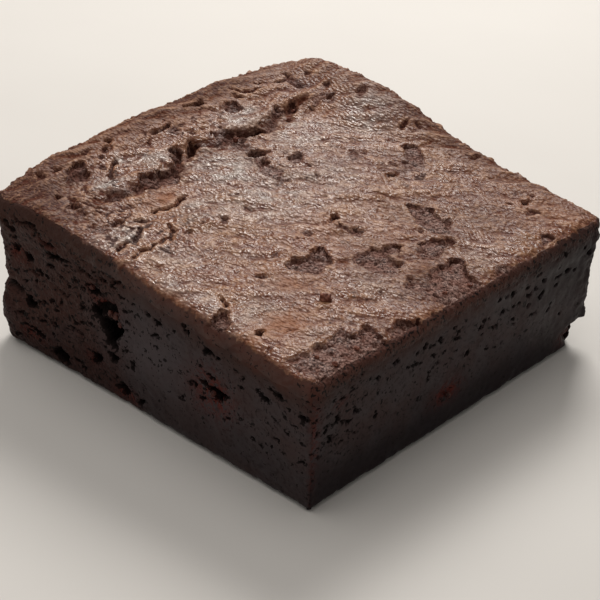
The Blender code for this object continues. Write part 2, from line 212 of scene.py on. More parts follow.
# Places where the crust has come off and the crumb shows: outline points in millimetres from the
# middle of the top, and how deep each is at its far edge, as a share of tearDepth
crustTears = {
    "valley top": ([(-22.2, 22.2), (-21, 21.8), (-19.6, 19.4), (-20.6, 19.2), (-20.8, 17.2),
        (-20, 15.2), (-18.6, 13.6), (-18.2, 11.4), (-19.8, 11.2), (-20.8, 13.4), (-21.8, 15.8),
        (-23.4, 18.6), (-21.9, 18), (-21.7, 20)], 1),
    "valley hole": ([(-19.4, 12), (-18.2, 10.2), (-18.5, 8.5), (-19.3, 7.2), (-20.3, 6.3),
        (-21.7, 6.9), (-21, 8.5), (-20.7, 9.9), (-20.3, 11.4)], 1.9),
    "valley rough": ([(-24, 5.4), (-22, 6.1), (-19, 6.2), (-16.4, 5.4), (-15.4, 3.2),
        (-17.2, 2.4), (-19.4, 2.6), (-19.6, 0.4), (-21.2, 0.8), (-22.6, 2.8), (-24.3, 2.2)], 0.8),
    "valley bend": ([(-24.4, -1.2), (-22.8, -0.6), (-22, -2), (-20.4, -3.6), (-20.6, -4.8),
        (-22.2, -4.6), (-23.8, -3.2)], 1.35),
    "valley run": ([(-24.4, -4.3), (-22.6, -4.6), (-21, -6), (-19.6, -7.8), (-18.6, -9.6),
        (-20.4, -10.2), (-21.6, -8.4), (-23.2, -7.2), (-24.6, -6)], 1.25),
    "valley low": ([(-19.9, -9.2), (-17, -9.6), (-16.5, -12.6), (-17.2, -15.2), (-16.8, -16.6),
        (-18.1, -18.4), (-18.3, -20.6), (-17.4, -23.4), (-18.6, -24.8), (-20.3, -24.8), (-21.6, -23.2),
        (-20.3, -21.4), (-20.6, -18.8), (-20.1, -17.2), (-21.6, -15.6), (-20.8, -13.2), (-20.4, -11.2)],
        1.15),
    "dark pair": ([(-13, 6.8), (-13, 5.4), (-12.4, 4.4), (-12.8, 3), (-12.4, 2.2), (-14.2, 1.8),
        (-15, 3.2), (-15.6, 4.4), (-14.4, 5.4)], 1.5),
    "torn strip": ([(-11.8, 3.8), (-10.2, 3), (-7.2, 3.4), (-5.4, 2.6), (-4, 2.2), (-4.2, 0.2),
        (-6.6, -0.4), (-9.6, -0.2), (-11.4, 1.2), (-12.8, 1.8)], 0.5),
    "square scab": ([(-9.8, 10.6), (-9.1, 10.6), (-7.9, 9.2), (-6.5, 8.3), (-6.7, 6.8), (-7.6, 6.1),
        (-9, 6.7), (-10.1, 7.7)], 1.15),
    "back brown": ([(-4.7, 18.6), (-3.4, 18.1), (-1.4, 17.1), (-0.5, 15.6), (-1.3, 14.3),
        (-2.8, 14.7), (-4, 16.3)], 0.45),
    "back": ([(0.5, 25), (0.8, 26.5), (2.4, 27.2), (3.7, 26.9), (4.9, 25.6), (6.6, 24.3),
        (7.1, 22.8), (6.9, 20.8), (5.9, 19.6), (4.8, 20.8), (3.4, 22.2), (2.6, 23.6), (1.6, 24.3)], 0.95),
    "crescent": ([(9.9, -2.7), (10.3, -1.3), (12, -0.9), (12.3, 0.4), (13.6, 0), (15, -1.5),
        (13.5, -2), (12, -1.9), (11, -2.8)], 1),
    "middle": ([(12.5, -7.8), (13.4, -8.8), (15.3, -9.4), (16.4, -11), (17.5, -12.6), (18.1, -14.6),
        (17.2, -15.7), (15.2, -16.2), (13.8, -16.9), (12, -16.8), (12.2, -13.8), (13.1, -12.9),
        (12.6, -10.6)], 1.05),
    "right of middle": ([(19, 0.4), (20.9, 1.7), (21.7, 0.2), (21.2, -0.9), (20.9, -2.4),
        (22.6, -3.4), (23.1, -1.9), (24.2, -1.7), (24.8, -3.8), (25.7, -5.2), (25, -7.6), (22, -8.5),
        (19.8, -7.8), (18.2, -8.4), (16.9, -7.4), (17.9, -5), (18, -3), (19, -1.8)], 1),
    "between": ([(22, 7), (23.7, 7.9), (24.8, 7.8), (26, 6), (26.4, 4.2), (27, 2.6),
        (25.6, 1.2), (24, 1.1), (22.6, 2.4), (22.2, 4.6)], 0.9),
    "long back": ([(12.4, 12.1), (13.6, 13.1), (15, 13.4), (17.3, 14), (18.1, 13.2), (19.6, 12.8),
        (20.1, 14.1), (20.9, 13.9), (21.5, 12.3), (24.1, 12.3), (23.9, 10), (22.4, 7.8), (18.4, 8.4),
        (15, 10), (13.6, 11)], 1),
    "right edge": ([(28.2, 5.5), (29.5, 6.1), (30.3, 5.1), (31.2, 4.3), (33, 3.8), (37, 3.5),
        (37, -6.2), (33.2, -6.6), (30.6, -7.4), (29.2, -7.8), (27.6, -7.2), (27.8, -5.4), (26.6, -4.3),
        (28.2, -4.2), (29.8, -3.3), (28.8, -2.2), (27.4, 0.2), (27.8, 1.2), (28.3, 3)], 0.95),
    "right nick": ([(35, -11.4), (33.8, -12.8), (33.3, -14.4), (33.6, -16.2), (33, -17.6),
        (34.4, -18), (37, -18.4), (37, -11)], 1.2),
    "near corner": ([(30.6, -18.4), (31.8, -18.2), (33.6, -19.1), (37, -19.6), (37, -36.5),
        (33.8, -34.3), (31.2, -34.8), (29.2, -34.3), (28.7, -32.6), (30, -30.6), (29.6, -28.6),
        (30.5, -27.6), (29.9, -26), (29.5, -24.2), (29.4, -22.2), (31.3, -22.9), (31.7, -21.4),
        (31, -20)], 0.9),
    "edge hook": ([(32.8, 22.2), (33.4, 23.3), (34.8, 23.4), (35, 20.6), (34.4, 19),
        (33.7, 21)], 0.9),
    "edge scab": ([(33.8, 9.4), (35, 10.6), (37, 14), (37, 6.8), (34.6, 7)], 0.9),
    "front edge": ([(14.4, -32.3), (15.4, -31.5), (16.6, -32.9), (18.3, -34.3), (18.4, -37),
        (14.4, -37), (14.8, -34)], 1.2),
    "front slit": ([(21.5, -30.6), (22.2, -31.2), (23.1, -32.8), (22.4, -33.6), (21.4, -32.4)], 1.5),
    "left slot": ([(-32.4, 8.9), (-30.7, 8.7), (-30.9, 6.4), (-31.2, 5.2), (-31.6, 3.1), (-32.3, 4.4),
        (-32.2, 6)], 1.5),
    "left ring": ([(-29.2, 11.5), (-28.7, 13.6), (-26.6, 13.9), (-25.8, 12.4), (-26.2, 10.9),
        (-27.4, 9.9), (-28.8, 10.1)], 1),
    "left cut": ([(-29.9, -1.1), (-29.1, -1.5), (-28.5, -3.6), (-28.3, -5.5), (-28.9, -6.5),
        (-29.8, -6), (-29.5, -4.2)], 1.3),
    "left cut side": ([(-28.9, -0.7), (-27.4, -0.5), (-26.3, -1.8), (-26.7, -3.1), (-28.2, -3.7)],
        0.4),
    "left corner": ([(-30.1, -20.3), (-28.4, -21.1), (-26.7, -21.5), (-26.3, -23.2), (-26.7, -25),
        (-25.8, -26.6), (-27.2, -27.2), (-28.2, -25.4), (-29.7, -24.7), (-30.3, -22.4)], 1.12),
    "left top": ([(-29.8, 28), (-28.2, 28), (-27, 27.2), (-24.8, 27.4), (-23.4, 26.6),
        (-23.6, 25.2), (-25.2, 25.3), (-27.4, 26), (-28, 24), (-29, 23.6), (-28.9, 25.6),
        (-28.8, 27)], 0.6),
}

# Small dark pits and dents in the crust: x, y, length, width, turn, depth as a share of pitDepth
crustPits = [
    (-20.2, 20.4, 2, 1, 118, 1), (-20.4, -14, 1.3, 1, 0, 0.8), (-18.7, -16, 1.3, 1, 0, 0.7),
    (-18.2, -23.4, 1.8, 1.2, 70, 0.8), (-19.8, -24.7, 1.4, 0.8, 0, 0.6), (-21.9, 5, 1.8, 0.9, -20, 0.8),
    (-19.6, 4.1, 1.2, 0.8, 0, 0.6), (-17.6, 4.6, 1.3, 0.8, 0, 0.5), (-16.6, 3.2, 1.5, 0.7, -30, 0.5),
    (-23.4, 2.5, 2, 0.7, -45, 0.6), (-20.2, 0.8, 1.3, 1, 0, 0.7), (-23.4, -1.7, 1.7, 1, 0, 0.5),
    (-21.2, -4.2, 1.6, 1, 0, 0.5), (-23.2, -5.4, 2.4, 1.2, -30, 0.6), (-31.2, -25.2, 2.4, 1.1, 95, 0.8),
    (-32.2, -27.9, 2.4, 1.2, -20, 0.8), (-33.8, -28.4, 1.6, 0.5, 10, 0.4),
    (-25.4, -29.9, 2.2, 1.2, 110, 1.1), (-21.4, -29.7, 2.4, 1.4, -20, 1.5),
    (-19, -30.7, 2.6, 1.6, 80, 0.5), (-18.6, -27.3, 1.2, 0.5, 80, 0.5),
    (-15.3, -31.5, 2, 0.8, -60, 0.9), (-13.6, -31.2, 2.6, 2.2, 0, 0.4),
    (-13.4, -28.4, 3, 0.7, 100, 0.7), (-11.2, -24.2, 1.8, 1, 50, 0.8),
    (-11.9, -25.2, 1.2, 0.9, 0, 0.6), (-32, -13.3, 1.7, 1.1, -40, 0.9),
    (-30.3, -15.4, 2, 0.9, 10, 0.7), (-29.4, -17.4, 1.8, 1.2, 70, 0.6),
    (-31.8, -17.9, 2.8, 0.7, 100, 0.6), (-24.2, -19.5, 1.7, 1.1, 0, 0.7),
    (-27.7, -22.7, 2.6, 2, 60, 0.6), (-28.7, 24.8, 2, 0.9, 70, 0.6), (-29.3, 27.5, 1.9, 0.8, 0, 0.5),
    (-26.2, 29.6, 1.4, 1.2, 0, 0.7), (-17.6, 26.7, 1.4, 0.9, -30, 0.9),
    (-17.9, 26.3, 3.6, 2.4, -30, 0.25), (-19, 24.6, 3.2, 1.6, 100, 0.35),
    (-18.4, 22.4, 1.2, 0.7, 0, 0.6), (-20.4, 28.8, 2.2, 1.1, 100, 0.6), (-13.6, 30.4, 2.8, 1.7, 100, 0.6),
    (-25.6, 0.3, 1.5, 1.1, 0, 0.7), (-25.6, 7.7, 2.2, 0.6, -5, 0.5), (-5.6, 8, 1, 0.8, 0, 0.6),
    (-2.4, 6.4, 1.9, 0.9, -60, 0.6), (-10.9, 3.1, 1.9, 1.3, -40, 1), (-15, 4.2, 1.5, 1.1, 80, 0.7),
    (-6.6, 2.6, 1.5, 0.9, -40, 0.5), (-4.6, 1.4, 1.7, 0.9, 80, 0.5), (8.3, -0.9, 2.5, 1, -70, 1.1),
    (8.8, -3.1, 1.2, 0.6, 90, 0.6), (8.8, -7, 2.2, 1.4, 90, 0.35), (-2.3, -9.3, 2.2, 1.2, 0, 0.5),
    (-2.5, -15, 2.8, 1.2, -50, 0.6), (-4, -21.4, 1.5, 0.9, 70, 0.7), (-3.8, -18.5, 1.6, 0.5, 85, 0.5),
    (9.2, -15.5, 1.8, 0.6, 85, 0.5), (8.9, -10.5, 1.6, 0.5, 85, 0.4), (12.1, -21.6, 2.2, 1.3, 40, 0.8),
    (5.4, 16.8, 2.2, 0.8, 80, 0.7), (3.4, 17.2, 2.6, 1.8, 50, 0.25), (-2.4, 18.8, 0.9, 0.8, 0, 0.5),
    (-0.8, 17, 0.9, 0.7, 0, 0.5), (-1.4, 31.6, 1.3, 1.1, 0, 0.7), (10.8, 32.8, 2.2, 0.8, 80, 0.7),
    (7.6, 29.6, 1, 0.7, 0, 0.5), (20, 7, 2, 0.7, -60, 0.5), (25.2, 8.7, 1.9, 1.6, 0, 0.8),
    (27, -10.7, 1.4, 0.6, -60, 0.5), (33.3, -4.9, 1, 0.8, 0, 0.5), (25.1, 28.2, 2.4, 1, -75, 1.1),
    (27.7, 26.5, 2, 1.5, 60, 0.7), (24, 25.6, 1.1, 0.8, 0, 0.5), (24.6, 30.6, 1.2, 1.2, 0, 0.4),
    (24.4, -27.9, 1.1, 0.9, 0, 0.5), (25.6, -34.2, 1.9, 0.6, -70, 0.6), (31.4, -19.2, 1.4, 1.4, 0, 0.4),
    (31.4, -22.3, 1, 0.9, 0, 0.4), (30.4, -28.8, 1.6, 1.8, 0, 0.4), (29.6, -33, 1.3, 2.2, 0, 0.5),
    (31.9, -33.7, 0.9, 0.9, 0, 0.6), (32.3, -27.2, 0.8, 0.8, 0, 0.5), (12.8, -15, 1, 3, 0, 0.6),
    (14, 12, 2.4, 1.3, 10, 0.4), (20.7, 12.5, 1.2, 1.8, 0, 0.5), (23.5, -3.1, 1.4, 2, -20, 0.4),
    (19.7, -1.2, 1.2, 2, 0, 0.5), (28.6, 3.1, 1.2, 2.4, 0, 0.5), (28.7, -1.6, 1, 2, 10, 0.4),
    (28.4, -5.8, 1.2, 2.2, 0, 0.4), (1.3, 25.4, 1.4, 1.8, 0, 0.5), (4.2, 21.7, 1.6, 1.4, 0, 0.4),
    (3.4, 19.6, 1.2, 0.9, 0, 0.6)]

# Thin cracks in the crust: points along each, width, and depth as a share of crackShape's
crackLines = {
    "left thin": ([(-27.8, -15.6), (-26.8, -16.6), (-25.6, -18.4), (-24.4, -19.6)], 0.6, 1),
    "front left upper": ([(-13.8, -25.6), (-13.4, -27.2), (-13.8, -29), (-14.6, -30.6)], 0.7, 0.8),
    "left thin top": ([(-32, -13.4), (-30.4, -14), (-29.2, -14.8)], 0.5, 0.6),
    "left thin low": ([(-28.6, -6.2), (-28, -7.4), (-27.4, -8.8)], 0.5, 0.4),
    "flap edge": ([(-12.4, -13.8), (-11.6, -16.2), (-11.2, -18.4), (-12.2, -20.2), (-12.6, -22.6)],
        0.8, 1),
    "front long": ([(-8.6, -21.4), (-6.2, -22.8), (-5, -23.8), (-4.7, -26), (-4.6, -28),
        (-4.8, -30), (-4.2, -32.4), (-3.4, -34.4)], 0.7, 0.75),
    "front left long": ([(-10.4, -25.8), (-9.4, -26.8), (-8.2, -28), (-7.6, -29.4), (-8, -30.6),
        (-7.6, -32.4), (-7.1, -34.4)], 0.75, 1),
    "middle fold": ([(-9.6, -8.6), (-7.8, -7.8), (-5.8, -7.6)], 0.4, 0.35),
    "left edge": ([(-28.8, 22.2), (-29.4, 19.2), (-30.2, 17), (-31.6, 14.8)], 0.7, 0.6),
    "left edge out": ([(-29.9, 22.8), (-30.6, 21.4), (-31.4, 20.4)], 0.5, 0.5),
    "left edge in": ([(-28.8, 16.8), (-29.6, 15.4), (-30, 14.6)], 0.7, 0.6),
    "left low": ([(-26, -24.2), (-23.2, -25.8), (-20.4, -25.2)], 0.5, 0.6),
    "left front": ([(-24.8, -28.4), (-22.6, -28.6), (-20.2, -27.6), (-17.4, -26.4)], 0.45, 0.45),
    "back crack": ([(-3.3, 31.8), (-2.9, 29.4), (-2.6, 28)], 0.5, 0.6),
    "back crack small": ([(-0.5, 30.4), (-0.9, 29)], 0.5, 0.5),
    "near arc": ([(12, -30.5), (13.6, -30.5), (15, -31.7)], 0.5, 0.9),
    "near fold": ([(24.3, -28), (24.6, -29.8)], 0.4, 0.4),
    "left rim": ([(-24.6, 18), (-26.4, 16.2), (-26, 14.4)], 0.4, 0.3),
}

# The long valley between the left strip and the middle of the crust
valley = {
    "line": [(-20.6, 22.5), (-20.8, 20), (-20.2, 17), (-19, 12), (-20.2, 7), (-20, 3), (-22.6, -1), (-22, -5),
             (-19.8, -9), (-18.8, -14), (-19, -20), (-20, -26)],
    "deep": 0.75, "reach": 1.5, "bank": 0.42, "bankPlace": 2.6, "bankReach": 1.9, "rough": 0.45,
    "trough": 1.3,             # reach of the crumbly bottom, which the finish paints darker as shade
}

# Zones of fine crackle, and zones that colour the crust: x, y, reach along and across, turn, strength
crackleZones = [
    (-12, -27.5, 9, 7, 0, 1.1), (-25, -22, 5, 6, 0, 0.9), (-28, 0, 4, 12, 0, 0.6),
    (-9, 4, 6, 5, 0, 0.6), (8, 22, 5, 7, 0, 0.5), (22, -20, 6, 6, 0, 0.4)]
# silvery zones: a painted sheen on glossier crust, where the wrinkles also stand higher
glossAndPaintedSheenZones = [
    (-13, -4, 7, 6, 0, 1), (-4, -5, 9, 7, 30, 0.75), (-9.5, 28, 4.8, 7, 0, 0.85),
    (-13.5, 15, 6, 7, 0, 0.65), (-24.2, 11, 2.6, 4.5, 0, 1.2), (-22.4, -21.4, 2.2, 2.8, 0, 1.2),
    (-10, -30, 3.5, 5, 0, 0.85), (-2, 6, 8, 7, 20, 0.5), (-24, -10, 3.4, 3, 0, 1),
    (-8, -15, 6, 4, 20, 0.7), (0, -28, 6, 7, 0, 0.35), (26, -10, 5, 4, 0, 0.3),
    (30, 9, 4, 4, 0, 0.3), (10, 4, 6, 7, 0, 0.15), (28, -26, 2, 6, 0, 0.3),
    (18.2, -26.5, 2.6, 7, 12, 0.75), (6, -20, 3, 3, 0, 0.4), (7, -33, 7, 3, 0, 0.55),
    (-27.4, -14.6, 1.8, 1.8, 0, 1.1)]
# zones laid in the shade tone, as painted shade; the skin there is also rougher
paintedShadeZones = [
    (-35, 8, 6, 30, 0, 1.15), (-29, -33, 14, 8, -6, 1.2),
    (-34, -22, 5, 8, 0, 1), (-3, 13, 5, 4.5, 0, 0.35), (-11, 9, 5, 3, 0, 0.35),
    (-10, 2, 6, 3, 0, 0.35), (28, 27, 5, 6, 0, 0.4), (-20, -27, 5, 8, 0, 0.6),
    (-20.2, 10, 2.4, 20, 3, 0.85), (-22, -3, 3, 8, 0, 0.25), (19, 11, 9, 5, 0, 0.75),
    (24, 4, 4, 5, 0, 0.75), (21, -4, 5, 6, 0, 0.95), (31, -1, 6, 8, 0, 1.2),
    (34.5, -26, 4.5, 12, 0, 0.8), (4.5, 22, 4.5, 6, 0, 0.6), (-2.8, 16.6, 2.4, 2.4, 0, 0.5),
    (0, 36.5, 38, 7.5, 0, 1.1), (-28, 28, 9, 5, 0, 0.5), (15.5, -33.5, 3, 2, 0, 0.5),
    (22, 22, 14, 14, 0, 0.4), (36, 12, 2.5, 24, 0, 0.5), (14.8, -12.6, 3, 4.5, 0, 0.35),
    (12, -1.5, 3, 2, 0, 0.4), (-14.5, 3, 5, 3, 0, 0.8), (-28, 3, 4, 5, 0, 0.2),
    (-19, -14, 2.6, 8, 0, 0.85), (-28.2, -24, 3.6, 4.4, 0, 0.9),
    (-19.5, -33.5, 8, 3, 0, 0.85), (-8.4, 8.4, 2, 2.2, 0, 0.4)]
rustZones = [
    (22.6, -27.6, 3, 4.4, -10, 1.4), (17.4, 2.6, 3.2, 5, 30, 0.55), (-16.6, 23.2, 3, 2.4, 0, 0.7),
    (-13.3, -17.6, 2.5, 3.4, 10, 1.5), (16.4, -19.4, 3.2, 4.4, -10, 0.85),
    (11.5, -18.5, 3, 1.6, 0, 0.45), (-34.5, 2, 6, 30, 0, 0.85), (0, 35, 36, 5, 0, 0.5),
    (7, -35.2, 3.4, 1, 0, 0.7), (22.4, -34.4, 2, 1.2, 0, 0.8), (-26, 20, 4, 4, 0, 0.4),
    (26.8, -1, 2, 3, 0, 0.8), (12, 8, 6, 4, 40, 0.3), (-31, -14, 3, 6, 0, 0.6),
    (30, 29, 7, 5, 0, 0.6), (10.5, -5.5, 7, 6, 0, 0.42), (15, -20, 8, 4, 0, 0.32),
    (34.8, -4, 1.2, 9, 0, 0.5)]
smoothZones = [
    (-30, -32, 10, 5, -10, 1.3), (24, 19, 5, 4, 0, 0.6), (16.6, -20.4, 5, 3, 30, 0.5),
    (-27, 20, 4, 6, 0, 0.3), (-13.4, -17.6, 1.9, 3, 10, 1), (23, -27, 2, 3.6, 0, 0.6)]

calmZones = [(-8, 28, 12, 9, 0, 0.45)]   # where the wrinkles are lower

crustRelief = {
    "cells": 272,              # grid cells along each edge of the top
    "margin": 6,               # cells worked out beyond the edge, so that no seam shows
    "rimRound": 0.8, "rimStart": 18.0, "rimFall": 1.08, "rimWalk": 1.45,
    "skirtRows": 12,           # rows over the rim and down the side
    # the next three are for the front, right, back and left side
    "skirt": (3.3, 2.9, 3.1, 3.3),         # how far the crust runs over the rim
    "browned": (1.1, 0.35, 0.7, 0.7),      # how far its top colour runs over the rim
    "crumbly": (0.35, 1.2, 1.4, 1.4),      # how lumpy that edge is
    "edgeRagged": 0.55, "edgeLumps": 0.30,
    "brownedFront": ((-36, -24, -16, -6, 2, 16, 32, 36), (0.1, 0.1, 0.3, 0.7, 1.0, 0.9, 0.8, 0.4)),
    "grainTurn": 43.0,         # the wrinkles run from the left corner to the right one
    "grainStretch": 2.1,
    "leftTurn": 72.0, "leftFold": 1.25,
    "leftStrip": (-18.0, -22.0),           # between these the grain turns to that of the left strip
    "darkStrip": (-16.0, -23.0, 0.75),     # and the bare crumb grows darker, by this share
    "sway": 0.6, "swaySize": 2.6,
    "wrinkles": [   # size, height, sharpness
        (1.9, 0.26, 0.6), (1.1, 0.24, 0.4), (0.66, 0.22, 0.6), (0.44, 0.14, 0.5)],
    "fold": 0.30, "foldSize": 3.0, "crease": 0.14,
    "nearSide": (0.67, -0.74), # the way in which tears run out level
    "wall": 0.22, "nearWall": 1.1, "nearFade": 1.8,   # widths of a tear's steep and gentle walls
    "lip": 0.05, "tearDepth": 0.42, "gap": 0.34, "pitDepth": 0.7,
    "bendSize": 1.9, "bend": 0.62,         # how the outlines of tears and pits waver
    "skin": 0.08,              # how far the crust's edge stands over the cut face
    "bareGrain": 0.8, "bareLumps": 0.25, "rimLumps": 0.34, "rimGrain": 0.15,   # relief of bare crumb
    "core": 22.0,              # height of the point where the skin closes inside
    "mapSize": 82.0,           # millimetres across the whole map
}


def turned(x, y, centreX, centreY, angle):
    # Places measured from a centre, along and across a direction
    c, s = math.cos(math.radians(angle)), math.sin(math.radians(angle))
    dx, dy = x - centreX, y - centreY
    return c * dx + s * dy, -s * dx + c * dy


def zoneSum(x, y, zones, ragged):
    # The strongest of a list's zones at each point, made uneven by ragged
    total = np.zeros(x.shape)
    for centreX, centreY, reachA, reachB, angle, strength in zones:
        a, b = turned(x, y, centreX, centreY, angle)
        total = np.maximum(total, strength * softSpot(a, b, 0.0, 0.0, reachA, reachB))
    return np.clip(total * (1.0 + ragged), 0.0, 1.3)


def outlineDistance(x, y, points):
    # Distance inside a closed outline, negative outside it
    best = np.full(x.shape, 1e9)
    crossings = np.zeros(x.shape, dtype=int)
    for number, (ax, ay) in enumerate(points):
        bx, by = points[(number + 1) % len(points)]
        length = (bx - ax) ** 2 + (by - ay) ** 2
        t = np.clip(((x - ax) * (bx - ax) + (y - ay) * (by - ay)) / length, 0.0, 1.0)
        best = np.minimum(best, np.hypot(x - ax - t * (bx - ax), y - ay - t * (by - ay)))
        if ay != by:
            crossings += ((ay > y) != (by > y)) & (x < ax + (y - ay) * (bx - ax) / (by - ay))
    return np.where(crossings % 2 == 1, best, -best)


def tornField(x, y):
    # Depth below the crust, how much a point lies on bare crumb, its distance inside the torn
    # edge, how near the edge's far side it is, where a shadow line is painted, and the holes, which
    # are painted in shade. A tear has a steep wall at its far side and runs out level towards the
    # near corner
    relief = crustRelief
    warpX = relief["bend"] * flatNoise(x, y, relief["bendSize"], 11, 3, 0.6)
    warpY = relief["bend"] * flatNoise(x, y, relief["bendSize"], 14, 3, 0.6, level=7.0)
    nearX, nearY = relief["nearSide"]
    depth = np.zeros(x.shape)
    bare = np.zeros(x.shape)
    torn = np.full(x.shape, -1.0)
    farSide = np.zeros(x.shape)
    hole = np.zeros(x.shape)
    for points, deep in crustTears.values():
        low, high = np.min(points, axis=0) - 2.0, np.max(points, axis=0) + 2.0
        box = (x > low[0]) & (x < high[0]) & (y > low[1]) & (y < high[1])
        px, py = x[box], y[box]
        share = min(1.0, 0.2 + 0.2 * (min(high - low) - 4.0))
        inside = outlineDistance(px + share * warpX[box], py + share * warpY[box], points)
        centre = 0.5 * (low + high)
        reach = 0.5 * (abs(nearX) * (high[0] - low[0]) + abs(nearY) * (high[1] - low[1])) - 2.0
        away = -((px - centre[0]) * nearX + (py - centre[1]) * nearY) / reach
        wide = max(inside.max(), 0.4) if inside.size else 0.4
        wall = relief["wall"] + min(relief["nearWall"], 0.7 * wide) * step01(0.1, -0.9, away)
        edge = step01(0.0, 1.0, inside / wall)
        floor = relief["tearDepth"] * deep * (0.35 + 0.65 * step01(-0.9, 0.6, away))
        deepShare = step01(1.05, 1.4, deep)   # the deepest tears are holes
        floor = floor * (1.0 + 1.6 * deepShare)
        gap = relief["gap"] * deep * np.exp(-((inside - 0.2) / 0.22) ** 2) * step01(-0.1, 0.5, away)
        gap = gap * np.clip(0.6 + 1.2 * warpX[box] / 0.3, 0.0, 1.6)
        lip = relief["lip"] * np.exp(-((inside + 0.25) / 0.45) ** 2) * step01(0.0, -0.2, inside)
        depth[box] = np.maximum(depth[box], (floor + gap) * edge) - lip * (depth[box] < 0.02)
        fade = 0.25 + min(relief["nearFade"], 0.9 * wide) * step01(0.2, -0.9, away)
        bare[box] = np.maximum(bare[box], step01(0.0, 1.0, inside / fade))
        farSide[box] = np.where(inside > torn[box], min(deep, 1.1) * step01(-0.35, 0.55, away), farSide[box])
        torn[box] = np.maximum(torn[box], inside)
        opened = deepShare * step01(0.0, 0.4, inside) * step01(-0.8, 0.1, away)
        hole[box] = np.maximum(hole[box], opened)
    for centreX, centreY, long, wide, turn, deep in crustPits:
        reach = 0.7 * max(long, wide) + 1.0
        box = (np.abs(x - centreX) < reach) & (np.abs(y - centreY) < reach)
        a, b = turned(x[box] + warpX[box], y[box] + warpY[box], centreX, centreY, turn)
        far = np.hypot(a / (0.5 * long), b / (0.5 * wide))
        steep = min(0.4, 0.3 / min(long, wide))
        away = -((x[box] - centreX) * nearX + (y[box] - centreY) * nearY) / (0.35 * (long + wide))
        slant = 0.55 + 0.45 * step01(-0.8, 0.4, away)
        depth[box] += relief["pitDepth"] * deep * slant * step01(1.0 + steep, 1.0 - steep, far)
        bare[box] = np.maximum(bare[box], 0.7 * step01(1.05, 0.8, far))
        inside = (1.0 - far) * 0.5 * min(long, wide)
        farSide[box] = np.where(inside > torn[box], deep * step01(-0.7, 0.4, away), farSide[box])
        torn[box] = np.maximum(torn[box], inside)
        hole[box] = np.maximum(hole[box], step01(0.4, 1.0, deep) * step01(1.0, 0.6, far))
    return depth, bare, torn, farSide, hole


def lineDistance(x, y, points):
    # Distance to a bent line, and how far along it the nearest point is, in points
    best = np.full(x.shape, 1e9)
    place = np.zeros(x.shape)
    for number, ((ax, ay), (bx, by)) in enumerate(zip(points, points[1:])):
        length = (bx - ax) ** 2 + (by - ay) ** 2
        t = np.clip(((x - ax) * (bx - ax) + (y - ay) * (by - ay)) / length, 0.0, 1.0)
        distance = np.hypot(x - ax - t * (bx - ax), y - ay - t * (by - ay))
        closer = distance < best
        best = np.where(closer, distance, best)
        place = np.where(closer, number + t, place)
    return best, place


crackShape = {
    "bends": ((1.5, 0.5), (0.6, 0.3)),     # size and reach of the waver along each crack
    "depth": 0.8, "netSize": 2.3, "netDepth": 0.36, "patchSize": 2.4,
}


def crackField(x, y):
    # Depth of the cracks, and the distance inside their edge
    form = crackShape
    bendX, bendY = x, y
    for number, (size, reach) in enumerate(form["bends"]):
        bendX = bendX + reach * flatNoise(x, y, size, 21 + number)
        bendY = bendY + reach * flatNoise(x, y, size, 23 + number, level=5.0)
    depth = np.zeros(x.shape)
    inside = np.full(x.shape, -1.0)
    for points, width, deep in crackLines.values():
        distance, place = lineDistance(bendX, bendY, points)
        taper = np.clip(np.minimum(place, len(points) - 1 - place) * 2.0, 0.25, 1.0)
        edge = 1.0 - step01(0.25 * width * taper, 0.6 * width * taper + 0.1, distance)
        depth = np.maximum(depth, deep * taper * edge)
        inside = np.maximum(inside, 0.36 * width * deep ** 0.5 * taper - distance)
    zone = zoneSum(x, y, crackleZones, 0.0)
    net = 1.3 * np.abs(flatNoise(bendX, bendY, form["netSize"], 25))
    zone = zone * step01(-0.3, 0.3, flatNoise(x, y, form["patchSize"], 26))
    depth = np.maximum(depth, form["netDepth"] * zone * step01(0.30, 0.06, net))
    inside = np.maximum(inside, 0.22 * zone - net)
    return form["depth"] * depth, inside


